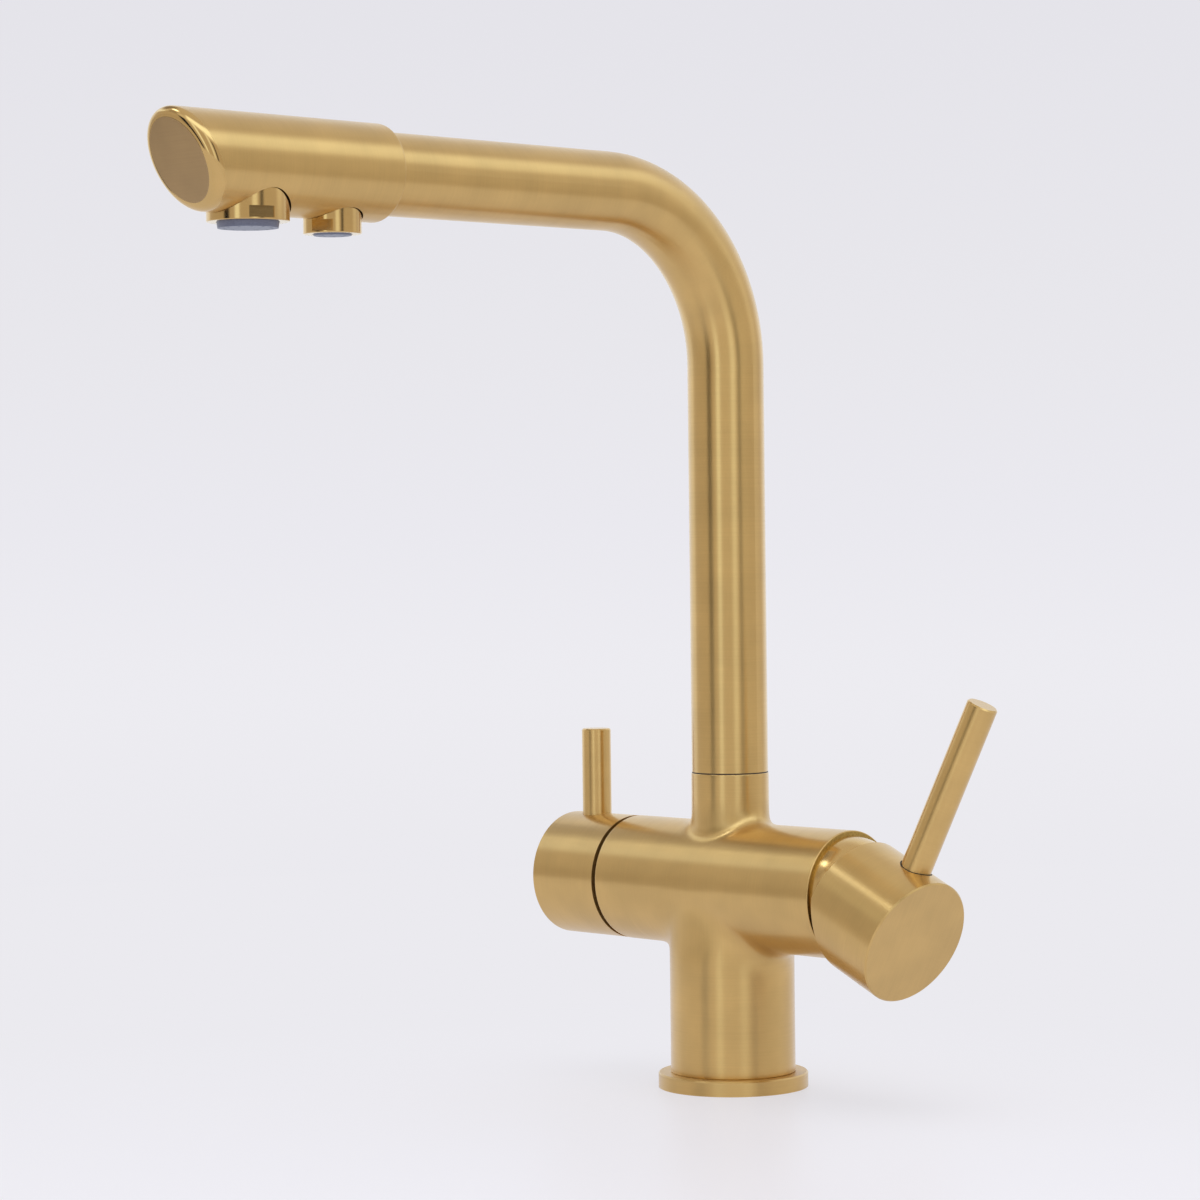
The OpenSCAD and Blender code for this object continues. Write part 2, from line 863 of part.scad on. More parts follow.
module filter_valve_body() {
    flange_at = valve_depth - valve_recess_depth;
    nose_top = flange_at + valve_flange_h + valve_nose_end;
    color(raw_brass)
        towards_filter(valve_x)
            difference() {
                union() {
                    translate([0, 0, seat_gap])
                        cylinder(r = valve_core_r - seat_gap, h = flange_at);
                    translate([0, 0, flange_at])
                        cylinder(d = valve_flange_w / cos(30), h = valve_flange_h, $fn = 6);
                    translate([0, 0, flange_at])
                        cylinder(r = valve_nose_r, h = nose_top - flange_at);
                }
                cylinder(d = valve_bore_d, h = valve_bore_depth);
                cylinder(r = spindle_r + running_gap, h = nose_top + overrun);
                translate([0, 0, valve_window_place])
                    rotate([90, 0, 0])
                        cylinder(d = valve_window_d, h = valve_core_r);
            }
}

module filter_glide_ring() {
    color(brown_plastic)
        towards_filter(filter_side)
            ring(glide_ring_d / 2, glide_ring_d / 2 - glide_ring_w, groove_w - free_gap);
}

// Filter valve and handle, pieces that turn

module filter_moving_disc() {
    color(ceramic)
        towards_filter(valve_x + valve_seal_h + valve_disc_h)
            difference() {
                cylinder(r = valve_bore_d / 2 - running_gap, h = valve_moving_disc_h);
                rotate([0, 0, 90])
                    valve_ports(valve_moving_disc_h);
            }
}

module filter_spindle() {
    foot = valve_x + valve_seal_h + valve_disc_h + valve_moving_disc_h;
    length = filter_cap_end - filter_cap_end_wall - spindle_end - foot;
    groove_at = filter_side + spindle_ring_place - foot;
    color(raw_brass)
        towards_filter(foot)
            difference() {
                union() {
                    cylinder(r = valve_bore_d / 2 - running_gap, h = spindle_flange_h);
                    cylinder(r = spindle_r, h = length);
                }
                translate([0, 0, groove_at - spindle_ring_d / 2])
                    ring(spindle_r + overrun, spindle_r - spindle_ring_d, spindle_ring_d);
            }
}

module filter_spindle_ring() {
    section_r = spindle_ring_d / 2;
    color(black_rubber)
        towards_filter(filter_side + spindle_ring_place)
            seal_ring(spindle_r - section_r, section_r);
}

module filter_cap() {
    start = filter_side + groove_w;
    length = filter_cap_end - start;
    cavity = length - filter_cap_end_wall;
    boss_from = filter_side + filter_boss_start - start;
    lever_at = filter_lever_place - start;
    color(gold)
        towards_filter(start)
            difference() {
                union() {
                    difference() {
                        bevelled_rod(filter_cap_r, length, edge_break);
                        translate([0, 0, -overrun])
                            cylinder(r = filter_cap_r - filter_cap_wall, h = cavity + overrun);
                    }
                    translate([0, 0, boss_from])
                        cylinder(r = filter_boss_r, h = cavity - boss_from);
                    translate([0, 0, lever_at])
                        rotate([0, 90, 0])
                            cylinder(r = lever_post_r, h = filter_cap_r - filter_cap_wall / 2);
                }
                cylinder(r = spindle_r + seat_gap, h = cavity - spindle_end + seat_gap);
                translate([0, 0, lever_at])
                    rotate([0, 90, 0])
                        cylinder(d = lever_stub_d, h = filter_cap_r);
                translate([filter_cap_r - lever_seat_depth, 0, lever_at])
                    rotate([0, 90, 0])
                        cylinder(r = filter_lever_r + seat_gap, h = lever_seat_depth + overrun);
            }
}

module filter_lever() {
    color(gold)
        translate([-filter_lever_place, 0, bar_height])
            lever(filter_lever_r, filter_cap_r, spindle_r + seat_gap, filter_lever_tip);
}

// Swivel

module swivel_washer() {
    color(brown_plastic)
        translate([0, 0, neck_top])
            ring(tube_r, swivel_bore_r + seat_gap, washer_h);
}

module swivel_screw() {
    tip = spigot_r - swivel_screw_bite;
    color(steel)
        translate([0, tip, swivel_middle])
            rotate([-90, 0, 0])
                difference() {
                    cylinder(r = swivel_screw_r - seat_gap, h = neck_r - swivel_screw_sink - tip);
                    translate([0, 0, neck_r - swivel_screw_sink - tip - grub_socket_depth])
                        cylinder(d = grub_socket_d, h = grub_socket_depth + overrun, $fn = 6);
                }
}

// Groove cut round the spigot, centred on height z
module spigot_groove(z, depth, h) {
    translate([0, 0, z - h / 2])
        ring(spigot_r + overrun, spigot_r - depth, h);
}

module spout_spigot() {
    color(raw_brass)
        difference() {
            union() {
                translate([0, 0, spigot_bottom])
                    cylinder(r = spigot_r, h = tube_bottom - spigot_bottom);
                translate([0, 0, tube_bottom])
                    cylinder(r = tube_bore_r - seat_gap, h = spigot_insert);
            }
            translate([0, 0, spigot_bottom - overrun])
                cylinder(d = spigot_bore_d, h = tube_bottom - spigot_bottom + spigot_insert + 2 * overrun);
            for (z = [lower_ring_z, upper_ring_z])
                spigot_groove(z, swivel_ring_d, swivel_ring_d + ring_groove_slack);
            spigot_groove(swivel_middle, swivel_groove_depth, swivel_screw_d + ring_groove_slack);
        }
}

module swivel_ring_lower() {
    color(black_rubber)
        translate([0, 0, lower_ring_z])
            seal_ring(spigot_r - swivel_ring_r, swivel_ring_r);
}

module swivel_ring_upper() {
    color(black_rubber)
        translate([0, 0, upper_ring_z])
            seal_ring(spigot_r - swivel_ring_r, swivel_ring_r);
}

// Spout

// Round bar that rises from the column's axis, bends and runs level towards the tip
module spout_path(r, from_z, to_y) {
    translate([0, 0, from_z])
        cylinder(r = r, h = spout_height - bend_r - from_z);
    translate([0, 0, spout_height - bend_r])
        rotate([0, 0, -90])
            quarter_bend(bend_r, r);
    towards_tip(bend_r)
        cylinder(r = r, h = to_y - bend_r);
}

module spout_tube() {
    tube_end = head_start + socket_depth;
    color(gold)
        difference() {
            spout_path(tube_r, tube_bottom, tube_end);
            spout_path(tube_bore_r, tube_bottom - overrun, tube_end + overrun);
        }
}

module filter_tube() {
    tube_from = swivel_floor - filter_tube_socket;
    tube_end = (head_start + socket_depth + filter_reach - filter_core_r) / 2;
    color(white_plastic)
        difference() {
            spout_path(filter_tube_r, tube_from, tube_end);
            spout_path(filter_tube_bore_r, tube_from - overrun, tube_end + overrun);
        }
}

// Side outline of the spout head, as distance from the column's axis and height
module head_outline() {
    low = spout_height - head_r;
    high = spout_height + head_r;
    top_x = tip_low_x + 2 * tip_rise * tan(tip_angle);
    bottom_arc = arc_points([tip_low_x, low + tip_round], tip_round, -90, -tip_angle, tip_arc_steps);
    top_arc = arc_points([top_x, high - tip_round], tip_round, -tip_angle, 90, tip_arc_steps);
    polygon(concat(
        [[head_start - overrun, low - overrun], [tip_low_x, low - overrun]],
        bottom_arc,
        top_arc,
        [[top_x, high + overrun], [head_start - overrun, high + overrun]]
    ));
}

// Stepped bore of an outlet: recess for the collar, then the thread
module outlet_bore(reach, recess_r, recess_rise, core_r, bore_rise) {
    at_outlet(reach) {
        translate([0, 0, -head_r - overrun])
            cylinder(r = recess_r, h = head_r + overrun + recess_rise);
        translate([0, 0, -head_r])
            cylinder(r = core_r, h = head_r + bore_rise);
    }
}

module spout_head() {
    length = tip_reach + head_r - head_start;
    socket_end = head_start + socket_depth;
    color(gold)
        difference() {
            intersection() {
                towards_tip(head_start) {
                    cylinder(r1 = head_r - head_bevel, r2 = head_r, h = head_bevel);
                    translate([0, 0, head_bevel])
                        cylinder(r = head_r, h = length);
                }
                rotate([90, 0, -90])
                    linear_extrude(height = 2 * head_d, center = true)
                        head_outline();
            }
            towards_tip(head_start - overrun)
                cylinder(r = tube_r + seat_gap, h = socket_depth + overrun);
            towards_tip(socket_end - overrun)
                cylinder(r = filter_tube_r + seat_gap, h = filter_reach - socket_end);
            translate([0, 0, channel_rise])
                towards_tip(socket_end - overrun)
                    cylinder(r = channel_r, h = main_reach - socket_end);
            outlet_bore(
                main_reach, main_housing_r + recess_gap, main_recess_rise, main_core_r, main_bore_rise
            );
            outlet_bore(
                filter_reach, filter_housing_r + recess_gap, filter_recess_rise, filter_core_r,
                filter_bore_rise
            );
        }
}

// Aerator housing: collar with two spanner flats, and a threaded part above it
module aerator_housing(reach, r, core_r, bore_r, rim_drop, collar_top, thread_top, flat_turn) {
    at_outlet(reach)
        difference() {
            union() {
                translate([0, 0, -rim_drop])
                    cylinder(r = r, h = collar_top + rim_drop);
                translate([0, 0, -rim_drop])
                    cylinder(r = core_r - seat_gap, h = thread_top + rim_drop);
            }
            translate([0, 0, -rim_drop - overrun])
                cylinder(r = bore_r + seat_gap, h = thread_top + rim_drop + 2 * overrun);
            for (side = [0, 180])
                rotate([0, 0, flat_turn + side])
                    translate([r - flat_depth, -r, flat_rim - rim_drop])
                        cube([flat_depth + overrun, 2 * r, flat_h]);
        }
}

// Aerator insert: tapered proud end with a ring of nozzles in its underside
module aerator_insert(reach, r, rim_drop, proud, top, nozzles) {
    at_outlet(reach)
        difference() {
            union() {
                translate([0, 0, -rim_drop - proud])
                    cylinder(r1 = r - insert_taper, r2 = r, h = proud);
                translate([0, 0, -rim_drop])
                    cylinder(r = r, h = top + rim_drop);
            }
            for (i = [0:nozzles - 1])
                rotate([0, 0, i * 360 / nozzles])
                    translate([r - nozzle_inset, 0, -rim_drop - proud - overrun])
                        cylinder(d = nozzle_d, h = nozzle_depth + overrun, $fn = 24);
        }
}

module main_aerator_housing() {
    color(gold)
        aerator_housing(
            main_reach, main_housing_r, main_core_r, main_insert_r, main_rim_drop,
            main_recess_rise - outlet_washer_h, main_thread_rise, main_flat_turn
        );
}

module main_aerator_insert() {
    color(grey_plastic)
        aerator_insert(
            main_reach, main_insert_r, main_rim_drop, main_insert_proud, main_insert_rise, main_nozzles
        );
}

module main_aerator_washer() {
    color(black_rubber)
        at_outlet(main_reach)
            translate([0, 0, main_recess_rise - outlet_washer_h])
                ring(main_housing_r, main_core_r, outlet_washer_h);
}

module filter_aerator_housing() {
    color(gold)
        aerator_housing(
            filter_reach, filter_housing_r, filter_core_r, filter_insert_r, filter_rim_drop,
            filter_recess_rise - outlet_washer_h, filter_thread_rise, filter_flat_turn
        );
}

module filter_aerator_insert() {
    color(grey_plastic)
        aerator_insert(
            filter_reach, filter_insert_r, filter_rim_drop, filter_insert_proud, filter_insert_rise,
            filter_nozzles
        );
}

module filter_aerator_washer() {
    color(black_rubber)
        at_outlet(filter_reach)
            translate([0, 0, filter_recess_rise - outlet_washer_h])
                ring(filter_housing_r, filter_core_r, outlet_washer_h);
}

base_ring();
base_gasket();
body_casting();
mixer_port_gasket();
mixer_base_plate();
mixer_fixed_disc();
mixer_cartridge_housing();
mixer_nut();
mixer_dome_cover();
mixer_carrier();
mixer_pivot_pin();
mixer_moving_disc();
mixer_disc_driver();
mixer_stem();
mixer_cap();
mixer_lever();
mixer_grub_screw();
mixer_screw_plug();
filter_valve_seal();
filter_fixed_disc();
filter_valve_body();
filter_glide_ring();
filter_moving_disc();
filter_spindle();
filter_spindle_ring();
filter_cap();
filter_lever();
swivel_washer();
swivel_screw();
spout_spigot();
swivel_ring_lower();
swivel_ring_upper();
spout_tube();
filter_tube();
spout_head();
main_aerator_housing();
main_aerator_insert();
main_aerator_washer();
filter_aerator_housing();
filter_aerator_insert();
filter_aerator_washer();
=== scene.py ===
# %% [markdown]
# # A three way filtered water tap
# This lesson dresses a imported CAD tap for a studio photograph. The CAD model is the fixed
# frame: it gives every piece its place, its size and the body that it moves with. Blender
# adds what a drawing leaves out: soft blends between the castings, the rounded edge of the
# spout's tip, the grain of a brushed finish, and the light of a studio.

import bmesh
import bpy
import numpy as np
from mathutils import Matrix, Vector


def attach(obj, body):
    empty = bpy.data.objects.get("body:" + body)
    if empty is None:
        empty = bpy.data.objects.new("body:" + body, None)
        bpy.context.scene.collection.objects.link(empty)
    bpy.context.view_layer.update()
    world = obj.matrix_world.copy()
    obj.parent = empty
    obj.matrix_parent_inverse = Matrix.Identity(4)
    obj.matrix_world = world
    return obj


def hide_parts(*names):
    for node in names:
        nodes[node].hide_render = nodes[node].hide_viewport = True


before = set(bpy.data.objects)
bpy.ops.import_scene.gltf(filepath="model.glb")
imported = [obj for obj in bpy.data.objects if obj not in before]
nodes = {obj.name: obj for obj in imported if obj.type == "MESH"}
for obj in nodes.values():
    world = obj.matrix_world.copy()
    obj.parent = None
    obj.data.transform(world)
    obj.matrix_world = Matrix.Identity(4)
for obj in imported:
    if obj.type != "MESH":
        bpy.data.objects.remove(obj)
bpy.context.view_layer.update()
MM = 0.001

# %% [markdown]
# ## Camera
# The photograph was taken from the front right, a little above the crossbar. Its place and
# lens were solved from straight edges and round rims of the tap, so the camera is written
# as a point, three directions and a focal length.

# %% Camera
camera_place = Vector((0.914154, -0.948094, 0.208011))
camera_right = Vector((0.694806, 0.719097, -0.012038))
camera_up = Vector((-0.007380, 0.023866, 0.999688))
camera_back = Vector((0.719159, -0.694500, 0.021889))
focal_pixels = 3589.04
image_pixels = 1200
sensor_mm = 36
nearest_m = 0.05
furthest_m = 60

camera_data = bpy.data.cameras.new("photo_camera")
camera_data.sensor_width = sensor_mm
camera_data.lens = focal_pixels / image_pixels * sensor_mm
camera_data.clip_start = nearest_m
camera_data.clip_end = furthest_m
camera = bpy.data.objects.new("photo_camera", camera_data)
bpy.context.collection.objects.link(camera)
turn = Matrix((camera_right, camera_up, camera_back)).transposed()
camera.matrix_world = Matrix.Translation(camera_place) @ turn.to_4x4()
bpy.context.scene.camera = camera
bpy.context.scene.view_settings.view_transform = "Standard"
print("lens in mm:", round(camera_data.lens, 2))

# %% [markdown]
# ## Helpers for materials
# Colours are written as they look on a screen, in sRGB hex. The renderer works in linear
# light, so one function turns them over. One more function adds a node, sets its inputs and
# links what feeds it.


# %% Colour and node helpers
def linear(hex_colour):
    """Turn sRGB hex into linear RGBA.

    Each channel c becomes c / 12.92 in the dark, else ((c + 0.055) / 1.055) to the 2.4.
    """
    digits = hex_colour.lstrip("#")
    srgb = np.array([int(digits[i:i + 2], 16) / 255 for i in (0, 2, 4)])
    lit = np.where(srgb <= 0.04045, srgb / 12.92, ((srgb + 0.055) / 1.055) ** 2.4)
    return (*lit.tolist(), 1.0)


def add(tree, kind, inputs=None, **settings):
    """Add a shader node, set its properties, and set or link each named or numbered input.

    A node given as an input stands for its first output. A Mix node names all its sockets
    alike, so they go by number: 4 and 5 are its two vectors, 6 and 7 its two colours.
    """
    node = tree.nodes.new("ShaderNode" + kind)
    for name, value in settings.items():
        setattr(node, name, value)
    for name, value in (inputs or {}).items():
        if isinstance(value, bpy.types.Node):
            value = value.outputs[0]
        if isinstance(value, bpy.types.NodeSocket):
            tree.links.new(value, node.inputs[name])
        else:
            node.inputs[name].default_value = value
    return node


def new_material(name):
    """Start an empty node material and return it with its tree."""
    material = bpy.data.materials.new(name)
    material.use_nodes = True
    material.node_tree.nodes.clear()
    return material, material.node_tree


def set_stops(ramp, stops):
    """Give a colour ramp its stops of (position, linear RGB) and return it."""
    elements = ramp.color_ramp.elements
    while len(elements) < len(stops):
        elements.new(1.0)
    for element, (position, colour) in zip(elements, stops):
        element.position = position
        element.color = (*colour[:3], 1.0)
    return ramp


print("white as linear light:", linear("#ffffff"))

# %% [markdown]
# ## Brushed gold
# The tap is brass with a thin gold-coloured coat of vapour-deposited metal. Before the coat,
# each piece was turned against a fine abrasive belt, so hair-fine grooves run round it. They
# spread a reflection square to the grooves and keep it crisp along them, so a tube shows
# long bands. An anisotropic metal does the same: it spreads a reflection along its tangent.
# The tangent is the piece's own axis, and on a flat end face it is the direction square to
# the face's grain. A noise that is fine along that direction and long across it draws the
# grain. The real grooves are about 0.02 mm apart, too fine to show, so they are drawn coarser.
# A second, slow noise dulls the colour in cloudy patches as wide as a thumb, and the shader's
# thin clear layer gives the pale sheen that the deposited coat has over its bands.

# %% Finish of the gold
gold_hex = "#d8b370"
# Brushed on a belt: long soft bands, crossed by fine dark hairs
satin = {
    "hex": gold_hex, "dark_share": 0.965, "roughness": 0.3, "swing": 0.02,
    "anisotropy": 0.88, "groove_mm": 0.4, "length_mm": 22, "depth_mm": 0.0008,
}
# Brushed, then buffed on a cloth wheel: the bands turn narrow and bright
polished = satin | {
    "dark_share": 0.98, "roughness": 0.17, "swing": 0.01, "anisotropy": 0.7, "depth_mm": 0.0004,
}
# Buffed until no groove is left: small clear reflections, light beside dark
mirror = polished | {"dark_share": 0.99, "roughness": 0.1, "anisotropy": 0.0, "depth_mm": 0.0}
# A drawn rod, rubbed down lightly: broader, calmer bands
drawn = satin | {
    "dark_share": 0.975, "swing": 0.01, "anisotropy": 0.6, "groove_mm": 0.6, "depth_mm": 0.0,
}
# A surface is an end face where its normal's share along the axis is above this
face_share = 0.97
coat_weight = 0.5
coat_roughness = 0.25
cloud_mm = 16
cloud_share = 0.91
# A noise seldom leaves this range, so its swing is stretched from here to there
noise_low, noise_high = 0.35, 0.65
grain_detail = 2.0
grain_roughness = 0.6


def finish_gold(tree, place, along, across, look):
    """Join grain, tangent and colour: noise at P * long + across * (along * (fine - long))."""
    fine = 1 / (look["groove_mm"] * MM)
    long = 1 / (look["length_mm"] * MM)
    squeezed = add(tree, "Math", {0: along, 1: fine - long}, operation="MULTIPLY")
    shift = add(tree, "VectorMath", {0: across, "Scale": squeezed}, operation="SCALE")
    spread = add(tree, "VectorMath", {0: place, "Scale": long}, operation="SCALE")
    point = add(tree, "VectorMath", {0: spread, 1: shift}, operation="ADD")
    streaks = add(tree, "TexNoise", {
        "Vector": point, "Scale": 1.0, "Detail": grain_detail, "Roughness": grain_roughness,
    })
    light = np.array(linear(look["hex"])[:3])
    tone = set_stops(add(tree, "ValToRGB", {"Fac": streaks}), [
        (noise_low, light * look["dark_share"]), (noise_high, light),
    ])
    clouds = add(tree, "TexNoise", {
        "Vector": place, "Scale": 1 / (cloud_mm * MM), "Detail": grain_detail,
    })
    dull = add(tree, "MapRange", {
        "Value": clouds, "From Min": noise_low, "From Max": noise_high,
        "To Min": cloud_share, "To Max": 1.0,
    })
    rough = add(tree, "MapRange", {
        "Value": streaks, "From Min": noise_low, "From Max": noise_high,
        "To Min": look["roughness"] + look["swing"], "To Max": look["roughness"] - look["swing"],
    })
    tangent = add(tree, "VectorTransform", {
        "Vector": across,
    }, vector_type="VECTOR", convert_from="OBJECT", convert_to="WORLD")
    metal = add(tree, "BsdfPrincipled", {
        "Base Color": add(tree, "VectorMath", {0: tone, "Scale": dull}, operation="SCALE"),
        "Metallic": 1.0, "Roughness": rough, "Anisotropic": look["anisotropy"],
        "Coat Weight": coat_weight, "Coat Roughness": coat_roughness, "Tangent": tangent,
        "Normal": add(tree, "Bump", {"Height": streaks, "Distance": look["depth_mm"] * MM}),
    })
    add(tree, "OutputMaterial", {"Surface": metal})


def turned_gold(name, axis, face_grain, look=satin):
    """Gold turned about an axis, whose flat end faces are brushed along face_grain."""
    material, tree = new_material(name)
    space = add(tree, "TexCoord").outputs
    place, normal = space["Object"], space["Normal"]
    axis = tuple(float(v) for v in axis)
    face_across = tuple(float(v) for v in np.cross(axis, face_grain))
    slope = add(tree, "VectorMath", {0: normal, 1: axis}, operation="DOT_PRODUCT")
    steep = add(tree, "Math", {0: slope.outputs["Value"]}, operation="ABSOLUTE")
    on_face = add(tree, "Math", {0: steep, 1: face_share}, operation="GREATER_THAN")
    across = add(tree, "Mix", {0: on_face, 4: axis, 5: face_across}, data_type="VECTOR")
    across = across.outputs[1]
    along = add(tree, "VectorMath", {0: place, 1: across}, operation="DOT_PRODUCT")
    finish_gold(tree, place, along.outputs["Value"], across, look)
    return material


# %% [markdown]
# ## The bent tube and the casting
# A bent tube has no single axis. Its brushing follows the pipe, so the tangent is the pipe's
# own direction, and the distance along the pipe replaces the distance along an axis: a
# straight rise, a quarter circle and a level run. The body casting has two axes, so each
# point carries a number that says which of them its grain follows.

# %% Gold for the tube and the casting
tube_bend_y = -60.5
tube_bend_z = 264.5
# Where both grains of the casting cross, they lie in patches of this size, and the noise
# that draws the patches swings from the low to the high value
patch_mm = 0.12
patch_low, patch_high = 0.25, 0.75


def tube_gold(name, look=satin):
    """Gold whose grain follows the pipe.

    Its direction is (0, -max(z - z0, 0), max(y - y0, 0)), made a unit. Its length is z up to
    the bend, then the bend's angle times its radius, then the way forward past the bend.
    """
    material, tree = new_material(name)
    place = add(tree, "TexCoord").outputs["Object"]
    parts = add(tree, "SeparateXYZ", {0: place}).outputs
    sums = {"y": parts["Y"], "z": parts["Z"], "y0": tube_bend_y * MM, "z0": tube_bend_z * MM}
    for result, operation, *terms in (
        ("over", "SUBTRACT", "z", "z0"), ("over", "MAXIMUM", "over", 0.0),
        ("side", "SUBTRACT", "y", "y0"), ("behind", "MAXIMUM", "side", 0.0),
        ("ahead", "MULTIPLY", "side", -1.0), ("ahead", "MAXIMUM", "ahead", 0.0),
        ("down", "MULTIPLY", "over", -1.0), ("angle", "ARCTAN2", "over", "behind"),
        ("bend", "MULTIPLY", "angle", -tube_bend_y * MM), ("rise", "MINIMUM", "z", "z0"),
        ("length", "ADD", "rise", "bend"), ("length", "ADD", "length", "ahead"),
    ):
        inputs = {i: sums.get(term, term) for i, term in enumerate(terms)}
        sums[result] = add(tree, "Math", inputs, operation=operation)
    across = add(tree, "CombineXYZ", {"Y": sums["down"], "Z": sums["behind"]})
    unit = add(tree, "VectorMath", {0: across}, operation="NORMALIZE")
    finish_gold(tree, place, sums["length"], unit, look)
    return material


def casting_gold(name, attribute, look=satin):
    """Gold with grain about the column's axis Z where the attribute is 1, the bar's X where 0.

    Between them both grains cross in small patches: a fine noise is compared with it.
    """
    material, tree = new_material(name)
    place = add(tree, "TexCoord").outputs["Object"]
    share = add(tree, "Attribute", attribute_name=attribute).outputs["Fac"]
    spots = {"Vector": place, "Scale": 1 / (patch_mm * MM), "Detail": 0.0}
    spots = add(tree, "TexNoise", spots)
    limit = add(tree, "MapRange", {"Value": share, "To Min": patch_low, "To Max": patch_high})
    upright = add(tree, "Math", {0: limit, 1: spots}, operation="GREATER_THAN")
    across = add(tree, "Mix", {0: upright, 4: (1, 0, 0), 5: (0, 0, 1)}, data_type="VECTOR")
    across = across.outputs[1]
    along = add(tree, "VectorMath", {0: place, 1: across}, operation="DOT_PRODUCT")
    finish_gold(tree, place, along.outputs["Value"], across, look)
    return material


# %% [markdown]
# ## Other finishes
# The inside of the tap is plain brass, steel, ceramic, plastic and rubber. Moulded and cast
# pieces share one recipe: a noise of the right size moves the tone and the roughness a
# little and lifts the surface by hundredths of a millimetre.

# %% Plain finishes
# Tone, darker tone, metallic, roughness, and size of the grain in mm
plain_looks = {
    # Turned brass without a coat: a dull yellow with a broad shine
    "raw_brass": ("#b99a55", "#a5864a", 1.0, 0.38, 0.8),
    # Turned stainless steel: grey and a little blurred
    "steel": ("#a9adb2", "#95999e", 1.0, 0.3, 0.6),
    # Moulded rubber: nearly black and matt
    "black_rubber": ("#26241f", "#1b1a17", 0.0, 0.7, 0.5),
    # Moulded slide ring: dark brown with a soft shine
    "brown_plastic": ("#33261b", "#281d14", 0.0, 0.5, 0.6),
    # Moulded aerator insert: bluish grey
    "grey_plastic": ("#747a90", "#686e84", 0.0, 0.42, 0.5),
    # Moulded cartridge: off-white
    "white_plastic": ("#d9d6cc", "#cdc9be", 0.0, 0.45, 0.7),
    # Ground ceramic disc: cream, hard and glossy
    "ceramic": ("#e9e4d6", "#dfdacb", 0.0, 0.18, 1.2),
}
relief_mm = 0.01
roughness_swing = 0.05
mould_detail = 3.0


def plain_finish(name, hex_colour, dark, metallic, roughness, grain_mm):
    """Moulded or cast finish: one noise moves tone and roughness and lifts the surface."""
    material, tree = new_material(name)
    place = add(tree, "TexCoord").outputs["Object"]
    noise = {"Vector": place, "Scale": 1 / (grain_mm * MM), "Detail": mould_detail}
    grains = add(tree, "TexNoise", noise)
    tone = set_stops(add(tree, "ValToRGB", {"Fac": grains}), [
        (noise_low, linear(dark)), (noise_high, linear(hex_colour)),
    ])
    rough = add(tree, "MapRange", {
        "Value": grains, "To Min": roughness + roughness_swing,
        "To Max": roughness - roughness_swing,
    })
    bump = add(tree, "Bump", {"Height": grains, "Distance": relief_mm * MM})
    surface = add(tree, "BsdfPrincipled", {
        "Base Color": tone, "Metallic": metallic, "Roughness": rough, "Normal": bump,
    })
    add(tree, "OutputMaterial", {"Surface": surface})
    return material


finishes = {name: plain_finish(name, *look) for name, look in plain_looks.items()}
print("finishes:", sorted(finishes))

# %% [markdown]
# ## Helpers for surfaces
# Every new piece is a set of grids. A grid is an array of points with rows and columns, and
# one function joins its neighbours with four-sided faces. Grids share their border points,
# so merging doubles closes the skin. The CAD works in millimetres, and so do these grids:
# they turn to metres when the mesh is made.

# %% Grid helpers
# Points nearer than the first are merged, and edges shorter than the second are dissolved
merge_mm = 0.003
sliver_mm = 0.0003
sharp_degrees = 35


def grid_faces(rows, columns, start):
    """Faces of a grid of points: (i, j), (i, j + 1), (i + 1, j + 1), (i + 1, j)."""
    index = np.arange(rows * columns).reshape(rows, columns) + start
    corners = (index[:-1, :-1], index[:-1, 1:], index[1:, 1:], index[1:, :-1])
    return np.stack([corner.ravel() for corner in corners], axis=1)


def build_mesh(name, parts, attributes=None):
    """Join grids of (points, material index) into one mesh and merge its seams.

    The attributes are functions of the points by name, whose values the mesh keeps.
    """
    points, faces, slots, start = [], [], [], 0
    for grid, slot in parts:
        rows, columns = grid.shape[:2]
        points.append(grid.reshape(-1, 3))
        faces.append(grid_faces(rows, columns, start))
        slots.append(np.full(len(faces[-1]), slot))
        start += rows * columns
    points = np.concatenate(points)
    mesh = bpy.data.meshes.new(name)
    mesh.from_pydata(points * MM, [], np.concatenate(faces).tolist())
    mesh.polygons.foreach_set("material_index", np.concatenate(slots).astype(np.int32))
    for attribute, values in (attributes or {}).items():
        layer = mesh.attributes.new(attribute, "FLOAT", "POINT")
        layer.data.foreach_set("value", values(points).astype(np.float32))
    work = bmesh.new()
    work.from_mesh(mesh)
    bmesh.ops.remove_doubles(work, verts=work.verts, dist=merge_mm * MM)
    bmesh.ops.dissolve_degenerate(work, edges=work.edges, dist=sliver_mm * MM)
    bmesh.ops.recalc_face_normals(work, faces=work.faces)
    loose = sum(1 for edge in work.edges if len(edge.link_faces) != 2)
    volume = round(work.calc_volume() * 1e6, 2)
    print(name, "faces:", len(work.faces), "open edges:", loose, "volume in ml:", volume)
    work.to_mesh(mesh)
    work.free()
    return mesh


def place_piece(name, mesh, materials, body, replaced):
    """Make the object, give it its finishes, and hand it to its CAD body and nodes."""
    piece = bpy.data.objects.new(name, mesh)
    bpy.context.collection.objects.link(piece)
    for material in materials:
        mesh.materials.append(material)
    counts = np.bincount([face.material_index for face in mesh.polygons])
    print(name, "faces of each finish:", counts)
    mesh.polygons.foreach_set("use_smooth", np.ones(len(mesh.polygons), bool))
    mesh.set_sharp_from_angle(angle=np.radians(sharp_degrees))
    mesh.update()
    if replaced:
        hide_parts(*replaced)
    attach(piece, body)


def blend_rows(first, last, count):
    """Rows on straight lines from one row to another: (1 - k) first + k last, by share k."""
    share = np.linspace(0, 1, count)[:, None, None]
    return first[None] * (1 - share) + last[None] * share


